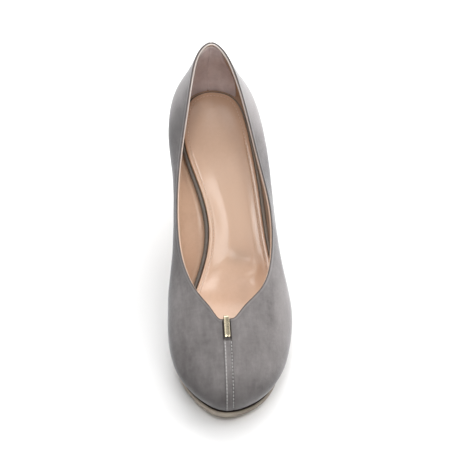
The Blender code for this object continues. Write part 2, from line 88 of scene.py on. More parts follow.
SECTION_COLUMNS = (
    "name", "feather_x", "feather_s", "wide_x", "wide_s", "wide_h",
    "crown", "top_x", "top_s", "top_z", "piping",
)  # fmt: skip
SECTIONS = (
    ("toe_tip", -0.6, 1.2, -0.8, 0.3, 7.5, 4.8, 0.0, 51.5, 41.0, 1.6),
    ("toe_medial", -15.2, 8.4, -16.8, 7.0, 7.5, 5.2, -4.7, 51.4, 41.2, 1.6),
    ("toe_joint_medial", -27.8, 27.0, -31.4, 26.2, 9.0, 5.6, -10.2, 60.6, 42.6, 1.6),
    ("ball_medial", -32.2, 52.0, -36.4, 52.0, 11.0, 5.4, -17.8, 73.0, 43.5, 2.4),
    ("ball_rear_medial", -28.5, 78.0, -35.0, 80.0, 14.0, 3.5, -24.2, 91.0, 45.0, 2.6),
    ("waist_front_medial", -18.2, 102.0, -31.7, 103.0, 18.0, 1.5, -27.3, 109.0, 50.5, 2.8),
    ("waist_medial", -10.5, 128.0, -29.2, 128.0, 21.0, 0.6, -27.4, 131.0, 61.0, 2.8),
    ("waist_rear_medial", -15.4, 155.0, -28.8, 155.0, 20.0, 1.0, -24.2, 155.0, 76.5, 2.8),
    ("heel_front_medial", -22.6, 180.0, -29.6, 181.0, 20.0, 1.0, -18.9, 179.0, 93.7, 2.4),
    ("heel_side_medial", -21.8, 203.0, -25.8, 205.5, 19.0, 0.6, -14.2, 199.8, 108.0, 1.9),
    ("heel_corner_medial", -13.5, 218.2, -15.2, 220.8, 19.0, 0.4, -9.2, 213.8, 117.3, 1.5),
    ("heel_back", 1.6, 223.6, 1.0, 226.6, 19.5, 0.6, 0.3, 220.0, 121.5, 1.5),
    ("heel_corner_lateral", 17.4, 218.4, 17.6, 220.8, 19.0, 0.4, 9.8, 213.8, 117.3, 1.5),
    ("heel_side_lateral", 26.0, 203.0, 28.8, 205.5, 19.0, 0.6, 16.6, 199.8, 108.0, 1.5),
    ("heel_front_lateral", 30.2, 180.0, 34.2, 181.0, 20.0, 1.0, 22.6, 179.0, 93.7, 1.7),
    ("waist_rear_lateral", 34.2, 155.0, 37.0, 155.0, 18.5, 1.0, 28.6, 155.0, 76.5, 2.4),
    ("waist_lateral", 36.9, 128.0, 38.9, 128.0, 16.5, 0.8, 34.3, 131.0, 61.0, 2.4),
    ("waist_front_lateral", 40.0, 102.0, 41.6, 101.0, 13.5, 1.8, 34.8, 108.0, 49.5, 1.5),
    ("ball_rear_lateral", 40.8, 78.0, 45.2, 77.0, 11.0, 4.2, 30.5, 86.0, 43.5, 1.6),
    ("ball_lateral", 38.6, 54.0, 43.4, 53.0, 10.0, 5.4, 22.6, 71.0, 42.5, 1.6),
    ("toe_joint_lateral", 32.2, 28.5, 35.6, 27.0, 8.5, 5.6, 12.2, 59.6, 42.4, 1.6),
    ("toe_lateral", 18.2, 9.0, 19.6, 7.6, 7.5, 5.2, 5.2, 51.6, 41.2, 1.6),
)

HEEL_COLUMNS = ("drop", "side", "breast", "back")
HEEL_ROWS = (
    (0.00, 1.00, 1.00, 1.00), (0.07, 0.95, 0.90, 0.96), (0.16, 0.84, 0.74, 0.88),
    (0.28, 0.66, 0.53, 0.75), (0.43, 0.45, 0.32, 0.57), (0.60, 0.27, 0.17, 0.37),
    (0.80, 0.11, 0.06, 0.17), (1.00, 0.00, 0.00, 0.00),
)  # fmt: skip

PAD_COLUMNS = ("s", "lift")
PAD_ROWS = (
    (0, 0.0), (30, 0.1), (60, 0.4), (82, 0.6), (104, 1.0), (130, 0.7),
    (160, 0.2), (185, -0.5), (205, -0.7), (224, 0.0),
)  # fmt: skip


# ------------------------------------------------------------ curves of tables
def column(rows, columns, name):
    return np.array([row[columns.index(name)] for row in rows], float)


def open_spline(knots, values):
    """Cubic through the knots, straight at its two ends."""
    knots, values = np.asarray(knots, float), np.asarray(values, float)
    n, h = len(knots), np.diff(knots)
    lhs, rhs = np.eye(n), np.zeros(n)
    for i in range(1, n - 1):
        lhs[i, i - 1 : i + 2] = h[i - 1], 2 * (h[i - 1] + h[i]), h[i]
        rhs[i] = 6 * (
            (values[i + 1] - values[i]) / h[i] - (values[i] - values[i - 1]) / h[i - 1]
        )
    bend = np.linalg.solve(lhs, rhs)

    def at(x):
        x = np.asarray(x, float)
        i = np.clip(np.searchsorted(knots, x) - 1, 0, n - 2)
        a, b, w = knots[i + 1] - x, x - knots[i], h[i]
        return (
            (bend[i] * a**3 + bend[i + 1] * b**3) / (6 * w)
            + (values[i] / w - bend[i] * w / 6) * a
            + (values[i + 1] / w - bend[i + 1] * w / 6) * b
        )

    return at


def closed_spline(values):
    """Cubic round a closed ring of evenly spaced values; u runs 0 to 1."""
    n = len(values)
    lhs = 4 * np.eye(n) + np.roll(np.eye(n), 1, 0) + np.roll(np.eye(n), -1, 0)
    rhs = 6 * (np.roll(values, -1) - 2 * values + np.roll(values, 1))
    bend = np.linalg.solve(lhs, rhs)

    def at(u):
        x = (np.asarray(u, float) % 1.0) * n
        low = np.floor(x).astype(int)
        i, j, b = low % n, (low + 1) % n, x - low
        a = 1 - b
        return (
            (bend[i] * a**3 + bend[j] * b**3) / 6
            + (values[i] - bend[i] / 6) * a
            + (values[j] - bend[j] / 6) * b
        )

    return at


profile = open_spline(
    column(PROFILE, PROFILE_COLUMNS, "s"), column(PROFILE, PROFILE_COLUMNS, "z")
)
pad_lift = open_spline(
    column(PAD_ROWS, PAD_COLUMNS, "s"), column(PAD_ROWS, PAD_COLUMNS, "lift")
)
RING = {
    name: closed_spline(column(SECTIONS, SECTION_COLUMNS, name))
    for name in SECTION_COLUMNS[1:]
}
HEEL_FLARE = {
    name: open_spline(
        column(HEEL_ROWS, HEEL_COLUMNS, "drop"), column(HEEL_ROWS, HEEL_COLUMNS, name)
    )
    for name in ("side", "breast", "back")
}


def smoothstep(low, high, x):
    t = np.clip((np.asarray(x, float) - low) / (high - low), 0, 1)
    return t * t * (3 - 2 * t)


def hump(x, at, width):
    return np.exp(-(((np.asarray(x, float) - at) / width) ** 2))


# -------------------------------------------------------------- the last itself
def bottom(x, s):
    arch = ARCH_LIFT * hump(s, ARCH_S, ARCH_SPREAD)
    across = np.clip((14.0 - x) / 26.0, 0.0, 1.3)
    return profile(np.clip(s, -4.0, LENGTH + 4.0)) + arch * across**2


def over(x, s, thick):
    """Height of a layer of this thickness, square to the last's bottom."""
    e = 0.5
    gx = (bottom(x + e, s) - bottom(x - e, s)) / (2 * e)
    gs = (bottom(x, s + e) - bottom(x, s - e)) / (2 * e)
    return bottom(x, s) + thick * np.sqrt(1 + gx * gx + gs * gs)


def inward(u, x="feather_x", s="feather_s"):
    e = 1e-4
    dx = RING[x](u + e) - RING[x](u - e)
    ds = RING[s](u + e) - RING[s](u - e)
    size = np.hypot(dx, ds)
    return ds / size, -dx / size


def feather(u, inset=0.0):
    nx, ns = inward(u)
    return RING["feather_x"](u) + nx * inset, RING["feather_s"](u) + ns * inset


def wall_points(u):
    """Feather edge, fullest point, crown and top line of each section: (U, 4, 3)."""
    fx, fs = feather(u)
    fz = bottom(fx, fs)
    f = np.stack((fx, fs, fz), -1)
    w = np.stack((RING["wide_x"](u), RING["wide_s"](u), fz + RING["wide_h"](u)), -1)
    t = np.stack((RING["top_x"](u), RING["top_s"](u), RING["top_z"](u)), -1)
    nx, ns = inward(u, "wide_x", "wide_s")
    chord = t - w
    lean = chord[:, 0] * nx + chord[:, 1] * ns
    out = np.stack((-chord[:, 2] * nx, -chord[:, 2] * ns, lean), -1)
    out /= np.linalg.norm(out, axis=1)[:, None]
    crown = w + 0.45 * chord + out * RING["crown"](u)[:, None]
    return np.stack((f, w, crown, t), 1)


def wall(u, v):
    """Outside of the upper at u (U,) and v (U, V): points (U, V, 3), lengths (U,)."""
    u = np.asarray(u, float)
    pts = wall_points(u)
    steps = np.linalg.norm(np.diff(pts, axis=1), axis=2)
    size = steps.sum(1)
    t = np.concatenate((np.zeros((len(u), 1)), np.cumsum(steps, 1)), 1) / size[:, None]
    h = np.diff(t, axis=1)
    slope = np.diff(pts, axis=1) / h[:, :, None]
    r1, r2 = 6 * (slope[:, 1] - slope[:, 0]), 6 * (slope[:, 2] - slope[:, 1])
    a, b, c = 2 * (h[:, 0] + h[:, 1]), h[:, 1], 2 * (h[:, 1] + h[:, 2])
    det = (a * c - b * b)[:, None]
    m1 = (c[:, None] * r1 - b[:, None] * r2) / det
    m2 = (a[:, None] * r2 - b[:, None] * r1) / det
    zero = np.zeros_like(m1)
    bend = np.stack((zero, m1, m2, zero), 1)
    v = np.broadcast_to(np.asarray(v, float), (len(u), np.shape(v)[-1]))
    i = (v > t[:, 1:2]).astype(int) + (v > t[:, 2:3])
    pick = lambda arr, k: np.take_along_axis(arr, k, 1)
    t0, t1, w = pick(t, i), pick(t, i + 1), pick(h, i)
    three = lambda arr, k: np.take_along_axis(arr, k[:, :, None], 1)
    A, B, W = (t1 - v)[..., None], (v - t0)[..., None], w[..., None]
    b0, b1 = three(bend, i), three(bend, i + 1)
    y0, y1 = three(pts, i), three(pts, i + 1)
    p = (b0 * A**3 + b1 * B**3) / (6 * W) + (y0 / W - b0 * W / 6) * A
    return p + (y1 / W - b1 * W / 6) * B, size


def wall_frame(u, v):
    """Points, outward normals and upward tangents of the upper's outside."""
    v = np.broadcast_to(np.asarray(v, float), (len(u), np.shape(v)[-1]))
    p, size = wall(u, v)
    du = wall(u + 2e-4, v)[0] - wall(u - 2e-4, v)[0]
    dv = wall(u, v + 2e-3)[0] - wall(u, v - 2e-3)[0]
    n = np.cross(dv, du)
    n /= np.linalg.norm(n, axis=2)[..., None]
    dv /= np.linalg.norm(dv, axis=2)[..., None]
    return p, n, dv, size


# ------------------------------------------------------ where the CAD frame lies
def lift_radius(angle):
    dx, ds = math.cos(angle), math.sin(angle)
    long = LIFT_BACK if ds > 0 else LIFT_BACK + 1.2
    reach = (abs(dx / LIFT_HALF_WIDTH) ** 2.5 + abs(ds / long) ** 2.5) ** (-1 / 2.5)
    if ds < -1e-6:
        reach = soft_least(reach, LIFT_FRONT / -ds)
    return reach


def soft_least(a, b, sharpness=9.0):
    return (a**-sharpness + b**-sharpness) ** (-1 / sharpness)


bar_low, bar_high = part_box("throat_bar")
lift_low, lift_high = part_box("heel_top_lift")
OFFSET = np.array(
    (
        (bar_low[0] + bar_high[0]) / 2 / MM - float(RING["top_x"](0.0)),
        lift_high[1] / MM - (LIFT_CENTRE[1] + LIFT_BACK * 0.985),
        0.0,
    )
)


# ------------------------------------------------------------------ mesh helpers
def piece(name, mesh, material, replaces=None):
    obj = bpy.data.objects.new(name, mesh)
    bpy.context.scene.collection.objects.link(obj)
    obj.data.materials.append(material)
    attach(obj, "root")
    if replaces:
        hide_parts(replaces)
    return obj


def sheet_mesh(name, points, wrap_u=True, wrap_r=True, values=None, weld=False):
    """Quads over a grid of points (U, R, 3), joined round either way."""
    count_u, count_r = points.shape[:2]
    iu = np.arange(count_u if wrap_u else count_u - 1)[:, None]
    ir = np.arange(count_r if wrap_r else count_r - 1)[None, :]
    ju, jr = (iu + 1) % count_u, (ir + 1) % count_r
    quads = np.stack(
        np.broadcast_arrays(
            iu * count_r + ir, ju * count_r + ir, ju * count_r + jr, iu * count_r + jr
        ),
        -1,
    ).reshape(-1, 4)
    mesh = bpy.data.meshes.new(name)
    mesh.from_pydata(((points.reshape(-1, 3) + OFFSET) * MM).tolist(), [], quads.tolist())
    for key, value in (values or {}).items():
        layer = mesh.attributes.new(key, "FLOAT", "POINT")
        layer.data.foreach_set(
            "value", np.broadcast_to(value, (count_u, count_r)).astype(np.float32).ravel()
        )
    bm = bmesh.new()
    bm.from_mesh(mesh)
    if weld:
        bmesh.ops.remove_doubles(bm, verts=bm.verts, dist=5e-6)
        bmesh.ops.dissolve_degenerate(bm, edges=bm.edges, dist=1e-7)
    bmesh.ops.recalc_face_normals(bm, faces=bm.faces)
    bm.to_mesh(mesh)
    bm.free()
    mesh.shade_smooth()
    return mesh


def tubes_mesh(name, paths, radius, sides=7):
    """Round threads along many short paths, closed at their ends, as one mesh."""
    verts, faces = [], []
    for path in paths:
        path = np.asarray(path, float)
        along = np.gradient(path, axis=0)
        along /= np.linalg.norm(along, axis=1)[:, None] + 1e-12
        side = np.cross(along, (0.13, 0.21, 0.97))
        side /= np.linalg.norm(side, axis=1)[:, None] + 1e-12
        rise = np.cross(side, along)
        base, rings = len(verts), len(path)
        for k in range(rings):
            end = 0.55 if k in (0, rings - 1) else 1.0
            for m in range(sides):
                a = 2 * math.pi * m / sides
                verts.append(
                    path[k] + radius * end * (math.cos(a) * side[k] + math.sin(a) * rise[k])
                )
        for k in range(rings - 1):
            for m in range(sides):
                p, q = base + k * sides + m, base + k * sides + (m + 1) % sides
                faces.append((p, q, q + sides, p + sides))
        faces.append(tuple(base + m for m in range(sides))[::-1])
        faces.append(tuple(base + (rings - 1) * sides + m for m in range(sides)))
    mesh = bpy.data.meshes.new(name)
    mesh.from_pydata(((np.array(verts) + OFFSET) * MM).tolist(), [], faces)
    bm = bmesh.new()
    bm.from_mesh(mesh)
    bmesh.ops.recalc_face_normals(bm, faces=bm.faces)
    bm.to_mesh(mesh)
    bm.free()
    mesh.shade_smooth()
    return mesh


def stitches(line, normals, stitch=2.0, pitch=2.7, stand=0.16, dip=0.35):
    """Short paths along a line of points: each rises out of the leather and dips
    back into it."""
    line, normals = np.asarray(line, float), np.asarray(normals, float)
    along = np.concatenate(([0], np.cumsum(np.linalg.norm(np.diff(line, axis=0), axis=1))))
    paths, start = [], 0.3
    while start + stitch < along[-1]:
        places = start + stitch * np.array((0.0, 0.12, 0.32, 0.5, 0.68, 0.88, 1.0))
        lift = np.array((-dip, 0.2 * stand, stand, 1.1 * stand, stand, 0.2 * stand, -dip))
        mid = np.stack([np.interp(places, along, line[:, k]) for k in range(3)], 1)
        n = np.stack([np.interp(places, along, normals[:, k]) for k in range(3)], 1)
        paths.append(mid + n * lift[:, None])
        start += pitch
    return paths


# ------------------------------------------------------------------- materials
def new_material(name):
    material = bpy.data.materials.new(name)
    material.use_nodes = True
    tree = material.node_tree
    return material, tree, tree.nodes["Principled BSDF"]


class Nodes:
    """Small helper to add and join shader nodes."""

    def __init__(self, tree):
        self.tree = tree
        self.coord = tree.nodes.new("ShaderNodeTexCoord").outputs["Object"]

    def link(self, a, b):
        self.tree.links.new(a, b)

    def noise(self, scale, detail=4.0, rough=0.55, distort=0.0, stretch=None):
        node = self.tree.nodes.new("ShaderNodeTexNoise")
        node.inputs["Scale"].default_value = scale
        node.inputs["Detail"].default_value = detail
        node.inputs["Roughness"].default_value = rough
        node.inputs["Distortion"].default_value = distort
        self.link(self.stretched(stretch), node.inputs["Vector"])
        return node.outputs["Fac"]

    def stretched(self, stretch):
        if stretch is None:
            return self.coord
        node = self.tree.nodes.new("ShaderNodeMapping")
        node.inputs["Scale"].default_value = stretch
        self.link(self.coord, node.inputs["Vector"])
        return node.outputs["Vector"]

    def voronoi(self, scale, feature="DISTANCE_TO_EDGE"):
        node = self.tree.nodes.new("ShaderNodeTexVoronoi")
        node.feature = feature
        node.inputs["Scale"].default_value = scale
        self.link(self.coord, node.inputs["Vector"])
        return node.outputs["Distance"]

    def attribute(self, name):
        node = self.tree.nodes.new("ShaderNodeAttribute")
        node.attribute_name = name
        return node.outputs["Fac"]

    def ramp(self, fac, stops):
        node = self.tree.nodes.new("ShaderNodeValToRGB")
        ramp = node.color_ramp
        while len(ramp.elements) < len(stops):
            ramp.elements.new(0.5)
        for element, (place, colour) in zip(ramp.elements, stops):
            element.position = place
            element.color = (*colour, 1.0) if len(colour) == 3 else colour
        self.link(fac, node.inputs["Fac"])
        return node.outputs["Color"]

    def mix(self, fac, a, b, kind="MIX"):
        node = self.tree.nodes.new("ShaderNodeMix")
        node.data_type = "RGBA"
        node.blend_type = kind
        for value, socket in ((fac, node.inputs[0]), (a, node.inputs[6]), (b, node.inputs[7])):
            if isinstance(value, (int, float)):
                socket.default_value = value
            elif isinstance(value, tuple):
                socket.default_value = (*value, 1.0)
            else:
                self.link(value, socket)
        return node.outputs[2]

    def math(self, kind, a, b=0.0, c=None):
        node = self.tree.nodes.new("ShaderNodeMath")
        node.operation = kind
        for value, socket in zip((a, b, c), node.inputs):
            if value is None:
                continue
            if isinstance(value, (int, float)):
                socket.default_value = value
            else:
                self.link(value, socket)
        return node.outputs[0]

    def bump(self, height, strength, distance, before=None):
        node = self.tree.nodes.new("ShaderNodeBump")
        node.inputs["Strength"].default_value = strength
        node.inputs["Distance"].default_value = distance
        self.link(height, node.inputs["Height"])
        if before is not None:
            self.link(before, node.inputs["Normal"])
        return node.outputs["Normal"]


def suede(name, dark, light, sheen=0.9, tint=(0.86, 0.87, 0.9), fields=True):
    """Short-napped leather: cloudy tone where the fibres lie different ways, a fine fibrous bump and
    a pale bloom at grazing angles. With fields on, colour fields paint light and shade into it:
    painted shade in the slits and grooves, painted highlights on the seam's overlap and the rolled
    edge, painted light and shade over the walls."""
    material, tree, bsdf = new_material(name)
    n = Nodes(tree)
    cloud = n.noise(42, 3.0, 0.55, 0.5)
    brushed = n.noise(170, 4.0, 0.62, 0.25, (1.0, 0.4, 0.8))
    combed = n.noise(330, 3.0, 0.6, 0.2, (0.35, 1.3, 1.0))
    strokes = n.noise(210, 2.0, 0.55, 0.6, (1.0, 0.16, 0.3))
    fibre = n.noise(1500, 3.0, 0.65, 0.4)
    speck = n.noise(620, 2.0, 0.5)
    tone = n.math("MULTIPLY_ADD", cloud, 0.34, n.math("MULTIPLY", brushed, 0.38))
    tone = n.math("ADD", tone, n.math("MULTIPLY", combed, 0.14))
    tone = n.math("ADD", tone, n.math("MULTIPLY_ADD", strokes, 0.24, -0.12))
    tone = n.math("ADD", tone, n.math("MULTIPLY", fibre, 0.08))
    tone = n.math("ADD", tone, n.math("MULTIPLY", speck, 0.10))
    colour = n.ramp(tone, ((0.38, dark), (0.66, light)))
    if fields:
        # painted shade: near-black in the slits beside the bar and under the bar's end
        colour = n.mix(n.math("MULTIPLY", n.attribute("slit_and_painted_shade"), 0.9), colour, (0.040, 0.029, 0.024))
        # painted shade: darker along the stitch groove and the step beside the seam's overlap
        colour = n.mix(
            n.math("MULTIPLY", n.attribute("seam"), 0.45), colour, tuple(c * 0.55 for c in dark)
        )
        # painted highlight: lighter along the seam's standing overlap
        colour = n.mix(
            n.math("MULTIPLY", n.attribute("lap_and_painted_highlight"), 0.55), colour, tuple(c * 1.5 for c in light)
        )
        # painted highlight along the rolled top edge, painted shade in the groove behind it
        edge = n.attribute("edge")
        fold = n.math("MULTIPLY", n.math("MAXIMUM", edge, 0.0), 0.4)
        groove_painted_shade = n.math("MULTIPLY", n.math("MAXIMUM", n.math("MULTIPLY", edge, -1.0), 0.0), 0.25)
        colour = n.mix(fold, colour, tuple(c * 1.25 for c in light))
        colour = n.mix(groove_painted_shade, colour, tuple(c * 0.5 for c in dark))
        # painted light and shade: lighter where the field is positive, darker where it is negative
        nap_and_painted_light = n.attribute("nap_and_painted_light")
        painted_light_mix = n.math("MULTIPLY", n.math("MAXIMUM", nap_and_painted_light, 0.0), 0.6)
        painted_shade_mix = n.math("MULTIPLY", n.math("MAXIMUM", n.math("MULTIPLY", nap_and_painted_light, -1.0), 0.0), 0.75)
        colour = n.mix(painted_light_mix, colour, tuple(c * 1.5 for c in light))
        colour = n.mix(painted_shade_mix, colour, tuple(c * 0.55 for c in dark))
        colour = n.mix(n.attribute("brow"), colour, (0.075, 0.057, 0.047))
    n.link(colour, bsdf.inputs["Base Color"])
    rough = n.math("MULTIPLY_ADD", fibre, 0.12, 0.84)
    n.link(rough, bsdf.inputs["Roughness"])
    bsdf.inputs["Specular IOR Level"].default_value = 0.18
    bsdf.inputs["Sheen Weight"].default_value = sheen
    bsdf.inputs["Sheen Roughness"].default_value = 0.42
    bsdf.inputs["Sheen Tint"].default_value = (*tint, 1.0)
    nap_and_painted_light = n.bump(fibre, 0.35, 0.00035)
    n.link(n.bump(brushed, 0.16, 0.0008, nap_and_painted_light), bsdf.inputs["Normal"])
    return material


def leather(name, colour, deep, rough=0.42, coat=0.0, grain=0.12, rim=None):
    """Smooth dyed leather: soft tone changes, fine pores, satin finish."""
    material, tree, bsdf = new_material(name)
    n = Nodes(tree)
    cloud = n.noise(26, 3.0, 0.5, 0.4)
    fine = n.noise(420, 4.0, 0.6)
    pores = n.voronoi(1500)
    tone = n.math("MULTIPLY_ADD", cloud, 0.65, n.math("MULTIPLY", fine, 0.35))
    base = n.ramp(tone, ((0.3, deep), (0.66, colour)))
    shade = n.attribute("shade")
    base = n.mix(n.math("MULTIPLY", shade, 0.6), base, tuple(c * 0.62 for c in deep))
    if rim:
        base = n.mix(n.attribute("rim"), base, rim)
    n.link(base, bsdf.inputs["Base Color"])
    n.link(n.math("MULTIPLY_ADD", fine, 0.16, rough - 0.08), bsdf.inputs["Roughness"])
    bsdf.inputs["Specular IOR Level"].default_value = 0.42
    bsdf.inputs["Coat Weight"].default_value = coat
    bsdf.inputs["Coat Roughness"].default_value = 0.16
    skin = n.bump(pores, grain, 0.00012)
    n.link(n.bump(fine, 0.08, 0.0004, skin), bsdf.inputs["Normal"])
    return material


def sole_material():
    """Outsole: taupe edge, near-black on the welt's top, wear-smoothed tread."""
    material, tree, bsdf = new_material("sole_taupe")
    n = Nodes(tree)
    cloud = n.noise(60, 4.0, 0.6)
    fine = n.noise(700, 3.0, 0.6)
    grain = n.noise(90, 3.0, 0.5, 0.0, (6.0, 1.0, 1.0))
    tone = n.math("MULTIPLY_ADD", cloud, 0.6, n.math("MULTIPLY", fine, 0.4))
    edge = n.ramp(tone, ((0.32, (0.35, 0.292, 0.229)), (0.68, (0.465, 0.403, 0.328))))
    tread = n.ramp(
        n.math("MULTIPLY_ADD", grain, 0.5, n.math("MULTIPLY", tone, 0.5)),
        ((0.3, (0.40, 0.315, 0.225)), (0.7, (0.52, 0.43, 0.325))),
    )
    # darker round the outer half of the toe's edge
    toe_edge_darkening = n.math("MULTIPLY", n.attribute("toe_edge_darkening"), n.math("MULTIPLY_ADD", cloud, 0.8, 0.6))
    edge = n.mix(toe_edge_darkening, edge, (0.58, 0.57, 0.56), "MULTIPLY")
    colour = n.mix(n.attribute("tread"), edge, tread)
    # near-black on the welt's top
    colour = n.mix(n.attribute("welt"), colour, (0.022, 0.012, 0.009))
    n.link(colour, bsdf.inputs["Base Color"])
    n.link(n.math("MULTIPLY_ADD", cloud, 0.2, 0.4), bsdf.inputs["Roughness"])
    n.link(n.bump(fine, 0.12, 0.0004), bsdf.inputs["Normal"])
    return material


def rubber_material():
    material, tree, bsdf = new_material("lift_rubber")
    n = Nodes(tree)
    fine = n.noise(900, 3.0, 0.6)
    cloud = n.noise(120, 3.0, 0.5)
    colour = n.ramp(cloud, ((0.35, (0.028, 0.025, 0.024)), (0.65, (0.05, 0.046, 0.043))))
    n.link(colour, bsdf.inputs["Base Color"])
    n.link(n.math("MULTIPLY_ADD", fine, 0.2, 0.58), bsdf.inputs["Roughness"])
    n.link(n.bump(fine, 0.25, 0.0003), bsdf.inputs["Normal"])
    return material


def gold_material():
    material, tree, bsdf = new_material("bar_gold")
    n = Nodes(tree)
    brush = n.noise(500, 2.0, 0.5, 0.0, (1.0, 0.05, 0.05))
    fine = n.noise(260, 3.0, 0.5)
    colour = n.ramp(fine, ((0.3, (0.375, 0.326, 0.233)), (0.7, (0.472, 0.418, 0.304))))
    n.link(colour, bsdf.inputs["Base Color"])
    bsdf.inputs["Metallic"].default_value = 1.0
    n.link(n.math("MULTIPLY_ADD", brush, 0.1, 0.17), bsdf.inputs["Roughness"])
    n.link(n.bump(brush, 0.05, 0.0001), bsdf.inputs["Normal"])
    return material


def thread_material(name, colour):
    material, tree, bsdf = new_material(name)
    n = Nodes(tree)
    twist = n.noise(1800, 2.0, 0.5, 0.0, (1.0, 1.0, 0.4))
    tone = n.ramp(twist, ((0.3, tuple(c * 0.75 for c in colour)), (0.7, colour)))
    n.link(tone, bsdf.inputs["Base Color"])
    bsdf.inputs["Roughness"].default_value = 0.6
    n.link(n.bump(twist, 0.3, 0.0002), bsdf.inputs["Normal"])
    return material


def floor_material():
    material, tree, bsdf = new_material("pale_floor")
    n = Nodes(tree)
    cloud = n.noise(3.0, 2.0, 0.5)
    colour = n.ramp(cloud, ((0.3, (0.85, 0.848, 0.846)), (0.7, (0.868, 0.866, 0.864))))
    n.link(colour, bsdf.inputs["Base Color"])
    bsdf.inputs["Roughness"].default_value = 0.7
    bsdf.inputs["Specular IOR Level"].default_value = 0.2
    return material


GREY_SUEDE = suede("upper_suede_grey", (0.136, 0.125, 0.123), (0.236, 0.22, 0.217), 0.62)
HEEL_SUEDE = suede(
    "heel_suede_grey", (0.132, 0.122, 0.12), (0.224, 0.21, 0.207), 0.62, fields=False
)
GRIP_SUEDE = suede(
    "heel_grip_suede", (0.61, 0.50, 0.485), (0.81, 0.70, 0.686), 0.2, (0.9, 0.85, 0.85), False
)
LINING = leather(
    "lining_tan", (0.64, 0.425, 0.298), (0.54, 0.348, 0.236), 0.36, 0.6, 0.1, (0.64, 0.565, 0.52)
)
SOCK = leather(
    "sock_tan", (0.72, 0.485, 0.338), (0.64, 0.416, 0.279), 0.36, 1.0, 0.08, (0.825, 0.57, 0.405)
)
PIPING = leather(
    "piping_grey", (0.160, 0.137, 0.115), (0.098, 0.082, 0.068), 0.45, 0.2, 0.25, (0.34, 0.295, 0.25)
)
SOLE = sole_material()
RUBBER = rubber_material()
GOLD = gold_material()
VAMP_THREAD = thread_material("vamp_thread", (0.50, 0.49, 0.48))
SOCK_THREAD = thread_material("sock_thread", (0.84, 0.65, 0.53))


# ---------------------------------------------------------------------- upper
SUEDE_THICK = 1.0
SUEDE_IN = 0.8  # below the fold, pared thinner
LINING_THICK = 0.74
LINING_OUT = SUEDE_THICK + 0.04
SEAM_FOLD = -1.75  # overlap of the vamp seam, standing proud, across from the centre line
SEAM_STITCH = 2.35  # its row of stitches
SLOT_IN, SLOT_OUT = 1.8, 2.95  # slits beside the bar


def around(count, fine_front=0.024, fine_back=0.008):
    """Places round the shoe, closer together at the vamp seam and the back seam."""
    u = [np.arange(count) / count]
    u.append(np.linspace(-fine_front, fine_front, 96) % 1.0)
    u.append(np.linspace(0.5 - fine_back, 0.5 + fine_back, 30))
    u = np.unique(np.round(np.concatenate(u), 7))
    keep = np.concatenate(([True], np.diff(u) > 2e-4))
    return u[keep]


def seam_place(u, v):
    """Distance across from the vamp's centre line and from the back seam, and
    distance below the top line."""
    p, size = wall(u, v)
    mid_front = wall(np.zeros(1), v[:1])[0]
    mid_back = wall(np.full(1, 0.5), v[:1])[0]
    turn = ((u + 0.5) % 1.0) - 0.5
    front = np.where(np.abs(turn)[:, None] < 0.2, p[..., 0] - mid_front[..., 0], 1e3)
    back = np.where(np.abs(turn)[:, None] > 0.4, p[..., 0] - mid_back[..., 0], 1e3)
    return front, back, (1 - v) * size[:, None]


